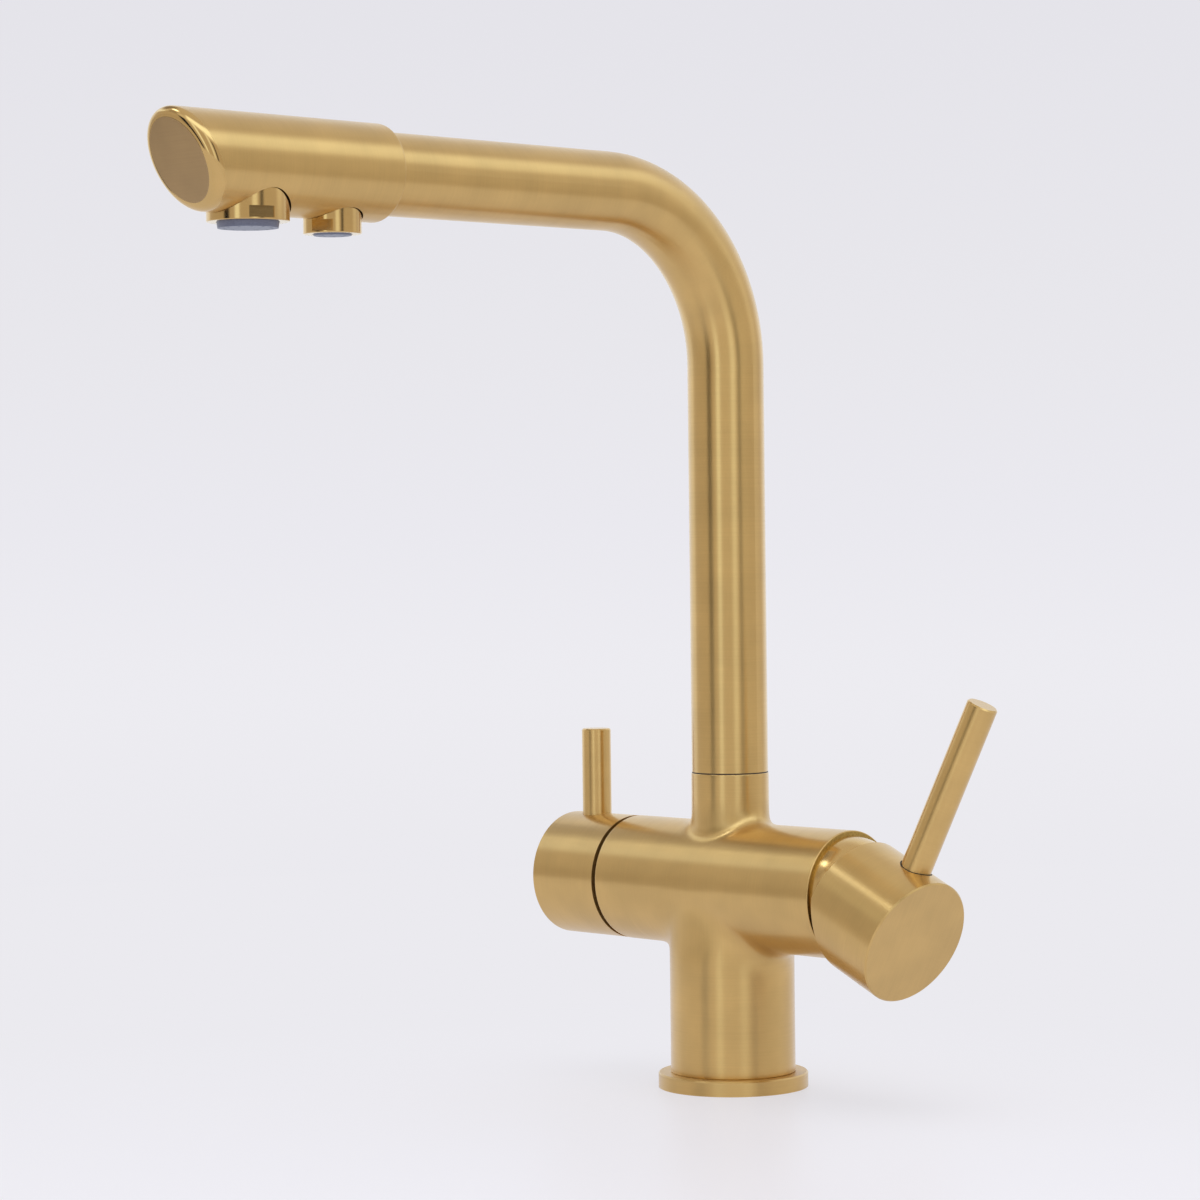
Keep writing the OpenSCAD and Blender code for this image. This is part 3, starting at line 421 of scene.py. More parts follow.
def arc_rows(centre, radius, first, last, count):
    """Rows on arcs from one unit direction to another, by share k of the angle a between them.

    A point is centre + radius * (sin((1 - k) a) * first + sin(k a) * last) / sin(a).
    """
    angle = np.arccos((first * last).sum(-1))[None, :, None]
    share = np.linspace(0, 1, count)[:, None, None]
    turned = np.sin((1 - share) * angle) * first[None] + np.sin(share * angle) * last[None]
    return centre[None] + radius * turned / np.sin(angle)


def about_axis(axis, along, radius, angle):
    """Points (along, r cos a, r sin a) round Z, round the crossbar's X, or the head's -Y.

    Round the column a is counted from X, and round the two others from straight below.
    """
    along, radius, angle = np.broadcast_arrays(along, radius, angle)
    if axis == "column":
        return np.stack([radius * np.cos(angle), radius * np.sin(angle), along], axis=-1)
    if axis == "crossbar":
        return np.stack([along, radius * np.sin(angle), bar_z - radius * np.cos(angle)], axis=-1)
    return np.stack([radius * np.sin(angle), -along, head_z - radius * np.cos(angle)], axis=-1)


def lathe(axis, profile, angles):
    """Turn a profile of (distance along, radius) about an axis: one row for each profile point."""
    along, radius = np.array(profile, float).T
    return about_axis(axis, along[:, None], radius[:, None], angles[None, :])


def edge_profile(along, radius, size, start, end, count=6):
    """Rounded edge: (along + size cos a, radius + size sin a), a between two angles in degrees."""
    angles = np.radians(np.linspace(start, end, count))
    return [(along + size * np.cos(a), radius + size * np.sin(a)) for a in angles]


def rectangle_loop(lengths, widths):
    """Closed loop round a rectangle from sorted samples: low side, right, high side and left."""
    low, high = (np.full(len(lengths) - 1, widths[end]) for end in (0, -1))
    right, left = np.full(len(widths) - 1, lengths[-1]), np.full(len(widths), lengths[0])
    along = np.concatenate([lengths[:-1], right, lengths[:0:-1], left])
    across = np.concatenate([low, widths[:-1], high, widths[::-1]])
    return np.stack([along, across], axis=-1)


# Samples of a hole's edge over two turns
sweep_steps = 8001


def patch_with_hole(loop, hole_curve, centre, rows):
    """Rows from a hole's edge to a rectangle's loop, in unrolled coordinates.

    A straight ray from the hole's centre to each point of the loop crosses the hole's edge at
    the parameter whose polar angle is the same, and the rows divide the stretch between.
    """
    angles = np.unwrap(np.arctan2(loop[:, 1], loop[:, 0] - centre))
    sweep = np.linspace(-2 * np.pi, 2 * np.pi, sweep_steps)
    curve = hole_curve(sweep)
    curve_angles = np.unwrap(np.arctan2(curve[1], curve[0] - centre))
    turns = np.round((np.median(sweep) - np.median(curve_angles)) / (2 * np.pi))
    curve_angles += 2 * np.pi * turns
    share = np.interp(angles, curve_angles, sweep)
    inner = np.stack(hole_curve(share), axis=-1)
    return blend_rows(inner, loop, rows), share


# %% [markdown]
# ## Body casting
# The real body is one brass casting: a column and a neck run into a crossbar, and the
# founder left a soft hollow blend where they meet. A Boolean would leave a hard line there.
# A ball rolled along the joint gives the blend instead. Its centre runs on the curve where
# two cylinders, each larger by the ball's radius, would cross. From that centre the ball
# touches the column on one side and the crossbar on the other, and the stretch between the
# touching points is where the blend starts and ends. An arc would leave a faint line where
# it meets the straight wall, so a softer curve runs between them. The crossbar's own skin is
# unrolled flat, with a hole that follows the ball's track, and rolled up again.

# %% Sizes of the body, in millimetres
bar_z = 74.0
bar_r = 23.1
bar_left = -48.5
bar_right = 59.0
column_r = 22.9
column_blend = 12.5
neck_r = 14.25
neck_blend = 8.5
neck_top = 115.4
base_top = 5.5
foot_r = 18.95
swivel_r = 11.0
swivel_floor = 88.0
edge_r = 0.4
# Stepped bores of the crossbar: (distance along the bar, radius), from each end inwards
mixer_bores = [(59.0, 20.3), (48.1, 20.3), (48.1, 17.6), (24.1, 17.6), (24.1, 0.0)]
filter_bores = [(-48.5, 15.0), (-44.0, 15.0), (-44.0, 8.5), (-28.0, 8.5), (-28.0, 0.0)]
# Sockets in the foot: (x, y, radius, depth) for three hoses and the fixing stud
foot_sockets = [
    (8.2, 8.2, 4.5, 14.0), (8.2, -8.2, 4.5, 14.0), (-8.2, 8.2, 4.5, 14.0),
    (-8.2, -8.2, 3.4, 16.0),
]
screw_z = 102.7
screw_r = 2.0


def ball_track(share, pipe_r, ball_r, side):
    """Centre of the ball that rolls about a pipe along Z, under (-1) or over (1) the crossbar.

    With s the angle about the pipe it is ((p + b) cos s, y = (p + b) sin s, bar height + side *
    sqrt((bar radius + b)^2 - y^2)), where p is the pipe's radius and b the ball's.
    """
    across = (pipe_r + ball_r) * np.sin(share)
    rise = np.sqrt((bar_r + ball_r) ** 2 - across ** 2)
    return np.stack([(pipe_r + ball_r) * np.cos(share), across, bar_z + side * rise], axis=-1)


def crossbar_half(pipe_r, ball_r, side, loop, rows=24):
    """Half of the crossbar's skin, rolled up from a flat patch with a hole along the ball's track.

    On the flat patch a point of the hole is (x of the ball, R asin(y of the ball / (R + b))).
    """
    def hole(share):
        centre = ball_track(share, pipe_r, ball_r, side)
        return centre[..., 0], bar_r * np.arcsin(centre[..., 1] / (bar_r + ball_r))

    flat, share = patch_with_hole(loop, hole, 0.0, rows)
    angle = flat[..., 1] / bar_r
    if side > 0:
        angle = np.pi - angle
    return about_axis("crossbar", flat[..., 0], bar_r, angle), share


def pipe_blend(share, pipe_r, ball_r, side, rows=22):
    """The blend: a curve of degree five between the ball's two touching points.

    Both tangent lines meet at a corner. The curve is the sum of binomial(5, k) * (1 - t)^(5 - k)
    * t^k * P_k, with P_k on the tangent lines, so that it starts and ends without curvature.
    """
    centre = ball_track(share, pipe_r, ball_r, side)
    to_pipe = np.stack([-np.cos(share), -np.sin(share), 0 * share], axis=-1)
    to_bar = np.array([0.0, 0.0, bar_z]) - centre
    to_bar[:, 0] = 0
    to_bar /= np.linalg.norm(to_bar, axis=-1, keepdims=True)
    corner = centre + ball_r * (to_pipe + to_bar) / (1 + (to_pipe * to_bar).sum(-1, keepdims=True))
    first, last = centre + ball_r * to_pipe, centre + ball_r * to_bar
    points = [first + (corner - first) * pull for pull in blend_pull]
    points += [last + (corner - last) * pull for pull in blend_pull[::-1]]
    t = np.linspace(0, 1, rows)[:, None, None]
    return sum(
        weight * (1 - t) ** (5 - k) * t ** k * point[None]
        for k, (weight, point) in enumerate(zip((1, 5, 10, 10, 5, 1), points))
    )


def pipe_wall(share, blend_row, pipe_r, height, rows):
    """Straight wall from a level ring at the given height to the blend's first row."""
    ring = about_axis("column", height, pipe_r, share)
    return blend_rows(ring, blend_row, rows)


# %% Grain of the body
# Heights where the column's grain fades out under the crossbar and in again over it, and
# the way out from the column over which it fades
under_fade = (36.0, 66.0)
over_fade = (96.5, 109.0)
side_fade = 13.0


def smooth(t):
    """Soft step from 0 to 1: 3 t^2 - 2 t^3, with t held between 0 and 1."""
    t = np.clip(t, 0, 1)
    return t * t * (3 - 2 * t)


def upright_share(points):
    """Share of the column's grain: it fades up to the crossbar and outwards, and returns above."""
    across = np.hypot(points[..., 0], points[..., 1])
    below = smooth((under_fade[1] - points[..., 2]) / (under_fade[1] - under_fade[0]))
    below = below * smooth((column_r + side_fade - across) / side_fade)
    above = smooth((points[..., 2] - over_fade[0]) / (over_fade[1] - over_fade[0]))
    return np.maximum(below, above)


# %% Skin of the body
# How far the blend's points P_0, P_1 and P_2 stand from its end towards the corner
blend_pull = (0.0, 0.4, 0.8)
skin_columns = 73
bar_lengths = np.linspace(bar_left + edge_r, bar_right - edge_r, skin_columns)
bar_widths = np.linspace(-np.pi / 2, np.pi / 2, skin_columns) * bar_r
bar_loop = rectangle_loop(bar_lengths, bar_widths)
bar_angles = np.concatenate([bar_widths / bar_r, np.pi - bar_widths[-2::-1] / bar_r])
column_rim, neck_rim, bar_rim = column_r - edge_r, neck_r - edge_r, bar_r - edge_r
under_skin, under_share = crossbar_half(column_r, column_blend, -1, bar_loop)
over_skin, over_share = crossbar_half(neck_r, neck_blend, 1, bar_loop)
under_blend = pipe_blend(under_share, column_r, column_blend, -1)
over_blend = pipe_blend(over_share, neck_r, neck_blend, 1)
column_wall = pipe_wall(under_share, under_blend[0], column_r, base_top + edge_r, rows=18)
neck_wall = pipe_wall(over_share, over_blend[0], neck_r, neck_top - edge_r, rows=12)
# Finish 0 is the brushed gold, and 1 the raw brass inside
body_parts = [(grid, 0) for grid in (
    under_skin, over_skin, under_blend, over_blend, column_wall, neck_wall,
)]
for axis, angles, slot, profile in (
    ("column", under_share, 0, edge_profile(base_top + edge_r, column_rim, edge_r, 90, 180)),
    ("column", under_share, 1, [
        (base_top, column_rim), (base_top, foot_r), (0, foot_r), (0, foot_r / 2), (0, 0),
    ]),
    ("column", over_share, 0, edge_profile(neck_top - edge_r, neck_rim, edge_r, 90, 0)),
    ("column", over_share, 1, [
        (neck_top, neck_rim), (neck_top, swivel_r), (swivel_floor, swivel_r), (swivel_floor, 0),
    ]),
    ("crossbar", bar_angles, 0, edge_profile(bar_right - edge_r, bar_rim, edge_r, 90, 0)),
    ("crossbar", bar_angles, 1, [(bar_right, bar_rim)] + mixer_bores),
    ("crossbar", bar_angles, 0, edge_profile(bar_left + edge_r, bar_rim, edge_r, 90, 180)),
    ("crossbar", bar_angles, 1, [(bar_left, bar_rim)] + filter_bores),
):
    body_parts.append((lathe(axis, profile, angles), slot))
body_mesh = build_mesh("body_shell", body_parts, {"column_grain": upright_share})

# %% [markdown]
# ## Worn points of the blend
# The column is almost as thick as the crossbar, so in front and at the back the blend runs
# out to a sharp point. On the real casting the polishing wheel wore that point away. Here
# each vertex near it moves to the mean of its neighbours, again and again.

# %% Soften the points
soft_middle_z = 64.0
soft_reach = 19.0
soft_passes = 160


def soften(mesh, middles, reach, passes):
    """Repeat p + w * (mean of neighbours - p); w falls from 1 at a middle to 0 at the reach."""
    count = len(mesh.vertices)
    points, edges = np.empty(count * 3), np.empty(len(mesh.edges) * 2, int)
    mesh.vertices.foreach_get("co", points)
    mesh.edges.foreach_get("vertices", edges)
    points, edges = points.reshape(-1, 3), edges.reshape(-1, 2)
    start, end = np.concatenate([edges, edges[:, ::-1]]).T
    neighbours = np.bincount(start, minlength=count)[:, None]
    away = np.min([
        np.linalg.norm(points - np.array(middle) * MM, axis=1) for middle in middles
    ], axis=0)
    weight = smooth((reach * MM - away) / (reach * MM))[:, None]
    for _ in range(passes):
        total = np.stack([np.bincount(start, points[end, k], count) for k in range(3)], axis=1)
        points += weight * (total / neighbours - points)
    mesh.vertices.foreach_set("co", points.ravel())
    mesh.update()
    print("softened vertices:", int((weight > 0).sum()))


worn_points = [(0, -column_r, soft_middle_z), (0, column_r, soft_middle_z)]
soften(body_mesh, worn_points, soft_reach, soft_passes)

# %% [markdown]
# ## Drilled holes
# The hose sockets, the fixing stud's socket and the hole of the swivel screw are drilled
# into the casting, so here they are cut too, with an exact Boolean against round cutters.
# A spanner flat is cut the same way with a box.


# %% Cut the body
cutter_segments = 40


def cutter(place, size, round_bar):
    """A bar of radius size[0] and length size[2] along the local Z axis, or a box of that size."""
    work = bmesh.new()
    sizes = [length * MM for length in size]
    if round_bar:
        bmesh.ops.create_cone(
            work, cap_ends=True, segments=cutter_segments, radius1=sizes[0], radius2=sizes[0],
            depth=sizes[2], matrix=place,
        )
    else:
        bmesh.ops.create_cube(work, size=1.0, matrix=place @ Matrix.Diagonal((*sizes, 1.0)))
    mesh = bpy.data.meshes.new("cutter")
    work.to_mesh(mesh)
    work.free()
    return mesh


def cut(mesh, cutters):
    """Cut every cutter out of a mesh with exact Booleans and return the new mesh."""
    piece = bpy.data.objects.new("cut", mesh)
    used = [piece] + [bpy.data.objects.new("cutter", shape) for shape in cutters]
    for thing in used:
        bpy.context.collection.objects.link(thing)
    for thing in used[1:]:
        modifier = piece.modifiers.new("cut", "BOOLEAN")
        modifier.operation = "DIFFERENCE"
        modifier.solver = "EXACT"
        modifier.object = thing
    graph = bpy.context.evaluated_depsgraph_get()
    result = bpy.data.meshes.new_from_object(piece.evaluated_get(graph))
    for thing in used:
        bpy.data.objects.remove(thing)
    return result


# How far a cutter runs out past the surface that it cuts
overrun = 1.0
drills = [
    cutter(
        Matrix.Translation(Vector((x, y, (depth - overrun) / 2)) * MM),
        (r, r, depth + overrun), True,
    )
    for x, y, r, depth in foot_sockets
]
screw_middle = (neck_r + swivel_r) / 2
screw_place = Matrix.Translation(Vector((0, screw_middle, screw_z)) * MM)
screw_place = screw_place @ Matrix.Rotation(np.pi / 2, 4, "X")
drills.append(cutter(screw_place, (screw_r, screw_r, neck_r - swivel_r + 2 * overrun), True))
body_mesh = cut(body_mesh, drills)
body_gold = casting_gold("gold_on_cast_brass", "column_grain")
body_finishes = [body_gold, finishes["raw_brass"]]
place_piece("body_shell", body_mesh, body_finishes, "body", ["body_casting"])
print("body faces after drilling:", len(body_mesh.polygons))

# %% [markdown]
# ## Spout head
# The head is a short pipe that is cut off on a slant, with a polished round edge all about
# the cut and a ground face inside it. The ball idea gives that edge too: a small ball rolls
# inside the pipe, against its wall and the slanted plane, and grows towards the underside,
# where the real edge is rounder. Two recesses are drilled upwards for the outlets, so the
# lower half of the skin is unrolled and patched round both holes.

# %% Sizes of the spout head, in millimetres
head_z = 325.0
head_r = 16.5
head_start = 167.3
head_edge = 0.8
socket_r = 14.05
socket_floor = 174.3
filter_reach = 186.0
filter_recess_r = 10.2
filter_recess_top = 316.0
filter_thread_r = 8.5
filter_thread_top = 323.0
patch_split = 201.8
main_reach = 221.4
main_recess_r = 14.05
main_recess_top = 322.0
main_thread_r = 11.5
main_thread_top = 328.0
patch_end = 236.5
tip_reach = 249.05
tip_lean = np.radians(25.3)
tip_ball_over = 2.7
tip_ball_under = 4.6


# %% Skin of the spout head
def head_patch(lengths, widths, centre, radius, rows=20):
    """Lower skin, rolled up from a patch with the outline of an upright drill in the pipe.

    Unrolled, that outline is (centre + r cos s, R asin(r sin s / R)).
    """
    def hole(share):
        return centre + radius * np.cos(share), head_r * np.arcsin(radius * np.sin(share) / head_r)

    flat, share = patch_with_hole(rectangle_loop(lengths, widths), hole, centre, rows)
    return about_axis("head", flat[..., 0], head_r, flat[..., 1] / head_r)


def recess(rim, centre, wall_r, ceiling, thread_r, top):
    """Upright recess with its thread: rings of (radius, height) in line with the rim's points."""
    middle = np.array([0.0, -centre])
    outward = rim[:, :2] - middle
    outward /= np.linalg.norm(outward, axis=-1, keepdims=True)
    rings = [
        np.column_stack([middle + outward * radius, np.full(len(rim), height)])
        for radius, height in ((wall_r, ceiling), (thread_r, ceiling), (thread_r, top), (0, top))
    ]
    return np.stack([rim] + rings)


head_columns, near_rows, far_rows = 65, 37, 41
head_widths = np.linspace(-np.pi / 2, np.pi / 2, head_columns) * head_r
near_lengths = np.linspace(head_start + head_edge, patch_split, near_rows)
far_lengths = np.linspace(patch_split, patch_end, far_rows)
near_patch = head_patch(near_lengths, head_widths, filter_reach, filter_recess_r)
far_patch = head_patch(far_lengths, head_widths, main_reach, main_recess_r)
head_angles = head_widths / head_r
upper_angles = np.linspace(np.pi / 2, 3 * np.pi / 2, head_columns)
upper_lengths = np.concatenate([near_lengths, far_lengths[1:]])
upper_skin = about_axis("head", upper_lengths[:, None], head_r, upper_angles[None, :])
round_angles = np.concatenate([head_angles, upper_angles[1:]])
sleeve_r = head_r - head_edge
head_rim = lathe(
    "head", edge_profile(head_start + head_edge, sleeve_r, head_edge, 90, 180), round_angles
)
head_socket = lathe("head", [
    (head_start, sleeve_r), (head_start, socket_r), (socket_floor, socket_r), (socket_floor, 0),
], round_angles)
filter_recess = recess(
    near_patch[0], filter_reach, filter_recess_r, filter_recess_top,
    filter_thread_r, filter_thread_top,
)
main_recess = recess(
    far_patch[0], main_reach, main_recess_r, main_recess_top, main_thread_r, main_thread_top
)

# Radius of the ball: over + (under - over) * (1 + cos s) / 2, with s = 0 straight below
tip_ball = tip_ball_over + (tip_ball_under - tip_ball_over) * (1 + np.cos(round_angles)) / 2
# Its centre stays that radius away from the wall and from the slanted plane
ball_path = head_r - tip_ball
ball_back = (tip_ball + np.sin(tip_lean) * ball_path * np.cos(round_angles)) / np.cos(tip_lean)
ball_centres = about_axis("head", tip_reach - ball_back, ball_path, round_angles)
outward = np.stack([np.sin(round_angles), 0 * round_angles, -np.cos(round_angles)], axis=-1)
tip_normal = np.array([0.0, -np.cos(tip_lean), -np.sin(tip_lean)])
ahead = np.broadcast_to(tip_normal, outward.shape)
tip_edge = arc_rows(ball_centres, tip_ball[:, None], outward, ahead, count=16)
tip_start = about_axis("head", patch_end, head_r, round_angles)
tip_wall = blend_rows(tip_start, tip_edge[0], count=12)
face_rim = tip_edge[-1]
face_middle = (face_rim.max(axis=0) + face_rim.min(axis=0)) / 2
tip_face = blend_rows(face_rim, np.broadcast_to(face_middle, face_rim.shape), count=8)
# Finish 0 is the brushed gold, 1 the raw brass, 2 the ground face and 3 the polished edge
head_mesh = build_mesh("spout_head_shell", [
    (near_patch, 0), (far_patch, 0), (upper_skin, 0), (head_rim, 0), (head_socket, 1),
    (filter_recess, 0), (main_recess, 0), (tip_wall, 0), (tip_edge, 3), (tip_face, 2),
])
head_gold = turned_gold("gold_on_turned_brass_head", (0, -1, 0), (1, 0, 0))
ground = satin | {"hex": "#bf9e6e"}
tip_gold = turned_gold("gold_on_ground_tip", tip_normal, (1, 0, 0), ground)
edge_gold = turned_gold("gold_on_polished_tip_edge", (0, -1, 0), (1, 0, 0), mirror)
head_finishes = [head_gold, finishes["raw_brass"], tip_gold, edge_gold]
place_piece("spout_head_shell", head_mesh, head_finishes, "spout", ["spout_head"])

# %% [markdown]
# ## Collars of the outlets
# Each aerator sits in a turned and polished collar with a softly broken rim and a shallow
# spanner flat on each side. Its profile is turned about the outlet's upright axis, and two
# boxes cut the flats. The rim stands a little lower than in the drawing, where the
# photograph shows it, and hides more of the insert.

# %% Turn the collars
collar_edge = 0.35
collar_columns = 97
flat_h = 3.7
flat_over_rim = 0.6
thread_gap = 0.05
seat_gap = 0.5
# Radii, height of the rim, and for the flats their turn in degrees, depth and width
collars = {
    "main": {
        "reach": main_reach, "outer": 13.55, "core": main_thread_r - thread_gap, "bore": 10.35,
        "low": head_z - 18.9, "shoulder": main_recess_top - seat_gap, "top": main_thread_top,
        "turn": -18, "depth": 1.1, "width": 8.6,
    },
    "filter": {
        "reach": filter_reach, "outer": 9.7, "core": filter_thread_r - thread_gap, "bore": 6.65,
        "low": head_z - 21.2, "shoulder": filter_recess_top - seat_gap,
        "top": filter_thread_top, "turn": -61, "depth": 0.9, "width": 7.4,
    },
}


def collar_mesh(name, reach, outer, core, bore, low, shoulder, top, turn, depth, width):
    """Profile of (height, radius) turned about the upright axis, less two boxes for the flats."""
    profile = [(top, bore), (low, bore), (low, outer - collar_edge)]
    profile += edge_profile(low + collar_edge, outer - collar_edge, collar_edge, 180, 90)
    profile += [(shoulder, outer), (shoulder, core), (top, core), (top, bore)]
    ring = lathe("column", profile, np.linspace(0, 2 * np.pi, collar_columns))
    mesh = build_mesh(name, [(ring + np.array([0, -reach, 0]), 0)])
    boxes = []
    for side in (turn, turn + 180):
        spin = Matrix.Rotation(np.radians(side), 4, "Z")
        away = spin @ Vector((outer - depth + overrun, 0, low + flat_over_rim + flat_h / 2))
        place = Matrix.Translation((away + Vector((0, -reach, 0))) * MM) @ spin
        boxes.append(cutter(place, (2 * overrun, width, flat_h), False))
    return cut(mesh, boxes)


collar_gold = turned_gold("gold_on_turned_collar", (0, 0, 1), (1, 0, 0), polished)
for outlet, sizes in collars.items():
    name = f"{outlet}_collar_shell"
    shape = collar_mesh(name, **sizes)
    place_piece(name, shape, [collar_gold], "spout", [f"{outlet}_aerator_housing"])

# %% [markdown]
# ## Finishes of the CAD pieces
# Every other piece keeps its CAD mesh. Its record names a finish, and the gold pieces also
# need the axis on which they were turned. The mixer handle stands tilted and turned, so its
# axis and its lever's axis are worked out from those two angles.

# %% Give every CAD piece its finish
tilt = np.radians(23.5)
twist = np.radians(6.7)
cap_axis = np.array([np.cos(tilt), -np.sin(tilt) * np.sin(twist), -np.sin(tilt) * np.cos(twist)])
lever_axis = np.array([np.sin(tilt), np.cos(tilt) * np.sin(twist), np.cos(tilt) * np.cos(twist)])
side_axis = np.cross(lever_axis, cap_axis)
# The base ring is brushed coarser than the rest and shows hardly any band
coarse = satin | {"roughness": 0.42}
gold_pieces = {
    "base_ring": turned_gold("gold_on_turned_ring", (0, 0, 1), (1, 0, 0), coarse),
    "mixer_dome_cover": turned_gold("gold_on_polished_dome", (1, 0, 0), (0, 0, 1), polished),
    "mixer_cap": turned_gold("gold_on_turned_mixer_cap", cap_axis, lever_axis),
    "mixer_lever": turned_gold("gold_on_turned_mixer_lever", lever_axis, side_axis, drawn),
    "mixer_screw_plug": turned_gold("gold_on_turned_plug", lever_axis, side_axis, polished),
    "filter_cap": turned_gold("gold_on_turned_filter_cap", (1, 0, 0), (0, 0, 1)),
    "filter_lever": turned_gold("gold_on_turned_filter_lever", (0, 0, 1), (1, 0, 0), drawn),
    "spout_tube": tube_gold("gold_on_drawn_tube"),
}
for name, node in nodes.items():
    for slot in node.material_slots:
        if name in gold_pieces:
            slot.material = gold_pieces[name]
        elif slot.material.name in finishes:
            slot.material = finishes[slot.material.name]
        else:
            slot.material = body_gold
print("gold pieces:", len(gold_pieces))

# %% [markdown]
# ## Painted shade at the mixer lever's foot
# The mixer lever stands in a shallow seat of its cap. A thin dark ring round it is painted
# shade: it stands for the shadow in the gap there. It shows as a fine dark line that follows the
# round cap, so each ring of it is a circle about the lever's axis whose height is the cap's own
# height at that place.

# %% Painted shade ring at the lever's foot
handle_pivot = np.array([57.1, 0.0, 74.0])
lever_place = 24.4
cap_r = 23.25
# Inner and outer radius, and how far the lower and upper edge stand over the cap
shade_ring_r = (5.5, 6.0)
shade_ring_lift = (-0.6, 0.07)


def shade_ring_points(radius, lift, angle):
    """Ring about the lever's axis on the round cap, for the angle s, radius r and cap radius R.

    A point is pivot + (place + r cos s) * cap axis + r sin s * side axis
    + (sqrt(R^2 - (r sin s)^2) + lift) * lever axis.
    """
    across = (radius * np.sin(angle))[:, None]
    height = np.sqrt(cap_r ** 2 - across ** 2) + lift
    along = lever_place + (radius * np.cos(angle))[:, None]
    return handle_pivot + along * cap_axis + across * side_axis + height * lever_axis


shade_ring_angles = np.linspace(0, 2 * np.pi, collar_columns)
shade_ring_corners = [(0, 0), (0, 1), (1, 1), (1, 0), (0, 0)]
shade_ring_grid = np.stack([shade_ring_points(shade_ring_r[i], shade_ring_lift[j], shade_ring_angles) for i, j in shade_ring_corners])
# This thin dark ring is painted shade, the shadow in the gap round the lever's foot
shade_ring_mesh = build_mesh("mixer_lever_painted_gap_shade", [(shade_ring_grid, 0)])
# The black rubber finish gives the painted shade its dark colour
shade_ring_finish = finishes["black_rubber"]
place_piece("mixer_lever_painted_gap_shade", shade_ring_mesh, [shade_ring_finish], "mixer_handle", [])

# %% [markdown]
# ## Studio
# The tap stands on a pale sheet in front of a pale wall, and one lamp overhead lights the
# sheet. Metal shows what surrounds it, so a tent draws the bands on the tubes: a large sphere
# that only reflections see. Its cloth has a brightness for each height, and each panel of the
# plan is laid over it, the later over the earlier. The real studio is not known, so the panels
# were set by measuring the photograph.

# %% World and floor
# Colour of the wall by elevation in degrees
wall_stops = [
    (-90, "#e8e7ed"), (-9, "#e9e8ee"), (-4.9, "#ebeaef"), (-2.5, "#edecf1"),
    (0, "#eae9ef"), (3, "#e8e7ec"), (8, "#e5e4ea"), (90, "#e5e4ea"),
]
sheet_hex = "#f4f3f6"
glow_hex = "#ebeaef"
sheet_roughness = 0.4
sheet_gloss = 0.25
sheet_glow = 0.3
sheet_r = 0.85
sheet_segments = 96
shade_middle = (0.17, -0.23, 0.0)
near_fade = 0.05
far_fade = 0.5
mirrored_dim = 0.05

world = bpy.data.worlds.new("pale_wall")
bpy.context.scene.world = world
world.use_nodes = True
tree = world.node_tree
tree.nodes.clear()
direction = add(tree, "TexCoord").outputs["Generated"]
upward = add(tree, "SeparateXYZ", {0: direction}).outputs["Z"]
height = add(tree, "Math", {0: upward}, operation="ARCSINE")
share = {"Value": height, "From Min": -np.pi / 2, "From Max": np.pi / 2}
tone = set_stops(add(tree, "ValToRGB", {"Fac": add(tree, "MapRange", share)}), [
    ((degrees + 90) / 180, linear(colour)) for degrees, colour in wall_stops
])
add(tree, "OutputWorld", {"Surface": add(tree, "Background", {"Color": tone})})
print("pale wall by elevation, stops:", len(wall_stops))


def stage_object(name, shape, material, **sizes):
    """Make an object of the studio with one of bmesh's own shapes and give it its material."""
    mesh = bpy.data.meshes.new(name)
    work = bmesh.new()
    shape(work, **sizes)
    work.to_mesh(mesh)
    work.free()
    mesh.materials.append(material)
    thing = bpy.data.objects.new(name, mesh)
    bpy.context.collection.objects.link(thing)
    return thing


def sheet_material():
    """A pale sheet with a glow of its own, so that it fades into the wall without a horizon.

    The glow's share grows with the distance from the middle of the shade, from sheet_glow to
    1, by a smooth step. In the metal's reflections the sheet is dimmer by mirrored_dim.
    """
    material, tree = new_material("pale_sheet")
    place = add(tree, "TexCoord").outputs["Object"]
    distance = add(tree, "VectorMath", {0: place, 1: shade_middle}, operation="DISTANCE")
    fade = add(tree, "MapRange", {
        "Value": distance.outputs["Value"], "From Min": near_fade, "From Max": far_fade,
        "To Min": sheet_glow, "To Max": 1.0,
    }, interpolation_type="SMOOTHSTEP")
    sheet = add(tree, "BsdfPrincipled", {
        "Base Color": linear(sheet_hex), "Roughness": sheet_roughness,
        "Specular IOR Level": sheet_gloss,
    })
    glow = add(tree, "Emission", {"Color": linear(glow_hex)})
    mix = add(tree, "MixShader", {0: fade, 1: sheet, 2: glow})
    mirrored = add(tree, "LightPath").outputs["Is Glossy Ray"]
    dim = add(tree, "Math", {0: mirrored, 1: mirrored_dim}, operation="MULTIPLY")
    dark = add(tree, "Emission", {"Strength": 0.0})
    seen = add(tree, "MixShader", {0: dim, 1: mix, 2: dark})
    add(tree, "OutputMaterial", {"Surface": seen})
    material.cycles.emission_sampling = "NONE"
    return material


sheet = stage_object(
    "sheet", bmesh.ops.create_circle, sheet_material(),
    cap_ends=True, segments=sheet_segments, radius=sheet_r,
)
print("sheet across in m:", 2 * sheet_r)

# %% Light tent
tent_r = 2.4
tent_place = (0, -0.08, 0.15)
tent_columns, tent_rows = 64, 32
# Cloth of this brightness is neutral, and its tint is full this much above or below it
neutral_light, tint_span = 0.85, 0.45
tent_tint = 0.12
camera_azimuth = float(np.arctan2(camera_place.y, camera_place.x))
# Brightness of the cloth by elevation in degrees
cloth = [
    (-90, 0.5), (-6, 0.6), (-1, 0.64), (12, 0.66), (25, 0.78), (36, 0.85), (50, 0.64),
    (70, 0.68), (90, 0.7),
]
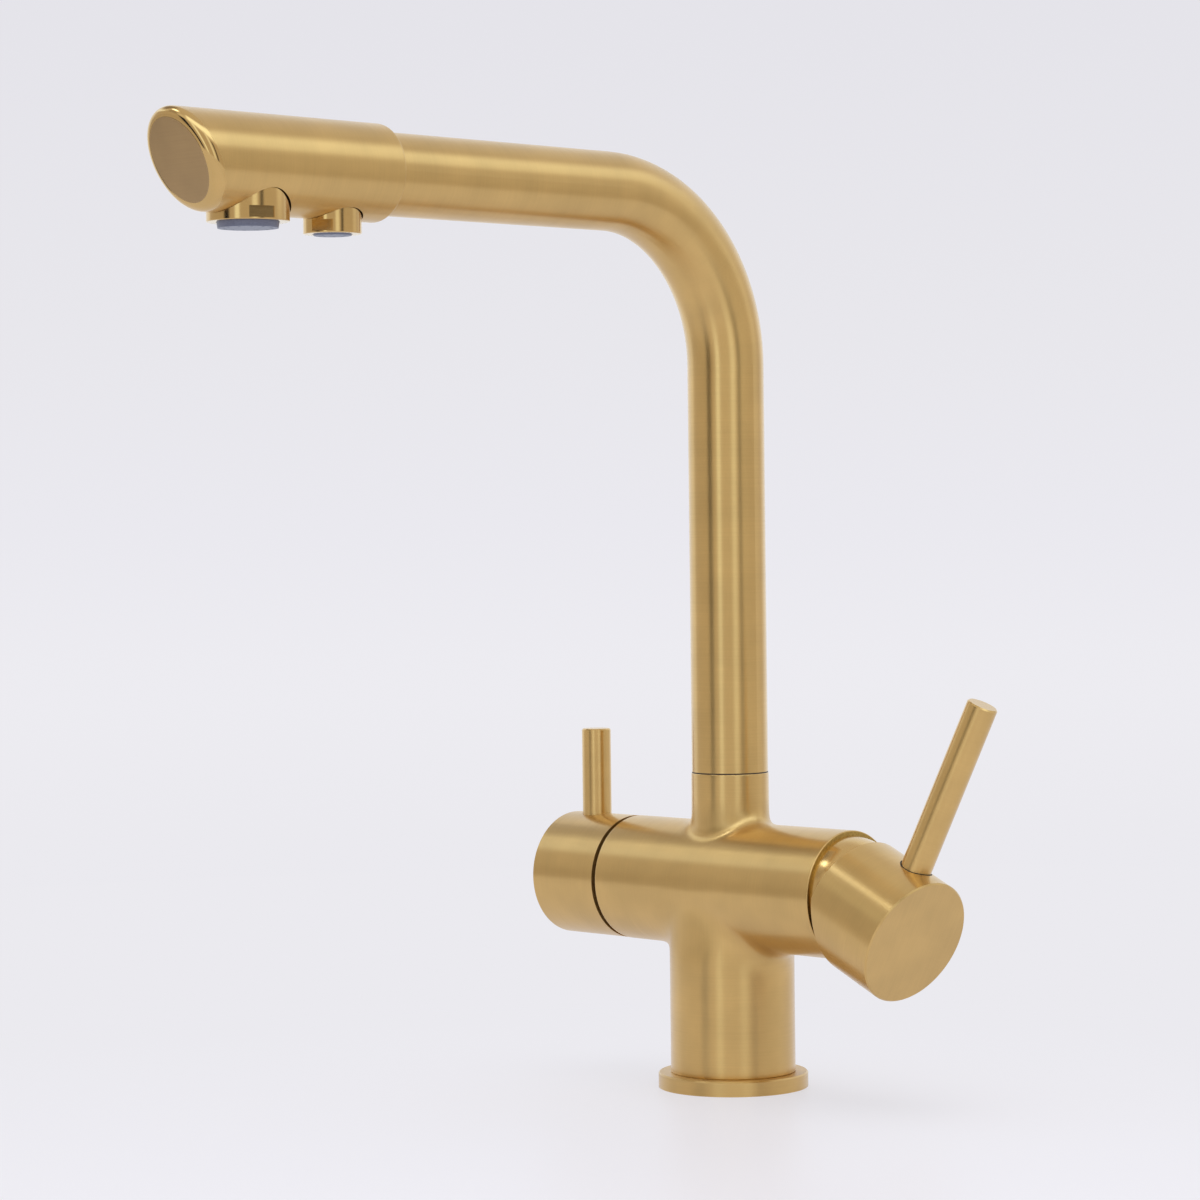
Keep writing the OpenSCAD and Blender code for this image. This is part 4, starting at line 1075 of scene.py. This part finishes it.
# Angle from the camera to its right, elevation, half width, half height, soft edge, brightness
panels = [
    (-168, 16, 62, 34, 12, 0.98),  # wall behind the tap
    (-86, 20, 30, 10, 7, 0.57),  # left wall
    (-124, 54, 24, 14, 6, 0.3),  # dark patch high at the left back
    (-114, 31.5, 20, 4, 3, 1.35),  # flat lamp at the left back
    (-86, 0, 30, 9, 6, 0.52),  # foot of the left wall
    (-104, -24, 14, 9, 6, 0.1),  # dark patch low at the left
    (100, 14, 12, 12, 8, 0.9),  # right wall
    (25, 4, 68, 20, 8, 0.58),  # broad front wall
    (30, 43, 62, 12, 6, 1.8),  # broad lamp high in front
    (-72, 36, 13, 9, 5, 0.4),  # dark patch beside it
    (-23, 4, 6, 30, 3, 1.35),  # bright strip left of the camera
    (24, 4, 7, 30, 4, 1.15),  # bright strip right of the camera
    (-52, -4, 7.5, 28, 4, 0.0),  # dark gap at the left
    (43, -4, 5, 24, 4, 0.1),  # dark gap at the right
    (-76, 56, 14, 4, 2.5, 4.4),  # small bright lamp high at the left
    (98, 35, 24, 7, 6, 1.08),  # lamp at the right
]


def tinted(light):
    """Colour of a brightness: bright cloth is a little bluish, dark cloth a little warm."""
    warm = float(np.clip((neutral_light - light) / tint_span, -1, 1)) * tent_tint
    return (light * (1 + warm), light, light * (1 - warm), 1.0)


def tent_material():
    """Emission by direction: cloth by elevation, then each panel mixed in by smooth masks."""
    material, tree = new_material("lit_tent_cloth")
    place = add(tree, "TexCoord").outputs["Object"]
    unit = add(tree, "VectorMath", {0: place}, operation="NORMALIZE")
    parts = add(tree, "SeparateXYZ", {0: unit}).outputs
    elevation = add(tree, "Math", {0: parts["Z"]}, operation="ARCSINE")
    height = {"Value": elevation, "From Min": -np.pi / 2, "From Max": np.pi / 2}
    lit = set_stops(add(tree, "ValToRGB", {"Fac": add(tree, "MapRange", height)}), [
        ((degrees + 90) / 180, tinted(light)) for degrees, light in cloth
    ])
    azimuth = add(tree, "Math", {0: parts["Y"], 1: parts["X"]}, operation="ARCTAN2")
    for from_camera, level, half_width, half_height, soft, light in panels:
        # Angle between the direction and the panel's middle, wrapped into half a turn
        middle = camera_azimuth + float(np.radians(from_camera))
        turned = add(tree, "Math", {0: azimuth, 1: middle}, operation="SUBTRACT")
        turned = add(tree, "Math", {0: turned, 1: np.pi, 2: -np.pi}, operation="WRAP")
        over = add(tree, "Math", {0: elevation, 1: np.radians(level)}, operation="SUBTRACT")
        masks = []
        for angle, half in ((turned, half_width), (over, half_height)):
            away = add(tree, "Math", {0: angle}, operation="ABSOLUTE")
            masks.append(add(tree, "MapRange", {
                "Value": away, "From Min": np.radians(half - soft),
                "From Max": np.radians(half + soft), "To Min": 1.0, "To Max": 0.0,
            }, interpolation_type="SMOOTHSTEP"))
        mask = add(tree, "Math", {0: masks[0], 1: masks[1]}, operation="MULTIPLY")
        lit = add(tree, "Mix", {0: mask, 6: lit, 7: tinted(light)}, data_type="RGBA").outputs[2]
    glow = add(tree, "Emission", {"Color": lit})
    add(tree, "OutputMaterial", {"Surface": glow})
    material.cycles.emission_sampling = "NONE"
    return material


tent = stage_object(
    "light_tent", bmesh.ops.create_uvsphere, tent_material(),
    u_segments=tent_columns, v_segments=tent_rows, radius=tent_r,
)
tent.location = tent_place
for rays in ("camera", "diffuse", "transmission", "volume_scatter", "shadow"):
    setattr(tent, "visible_" + rays, False)
print("panels of the tent:", len(panels))

# %% Lamp
lamp_place = (0.2, -0.2, 1.9)
lamp_across_m = 1.6
lamp_watts = 9

lamp_data = bpy.data.lights.new("overhead_panel", "AREA")
lamp_data.shape = "DISK"
lamp_data.size = lamp_across_m
lamp_data.energy = lamp_watts
lamp = bpy.data.objects.new("overhead_panel", lamp_data)
lamp.location = lamp_place
lamp.visible_glossy = False
bpy.context.collection.objects.link(lamp)
print("lamp in W:", lamp_watts)
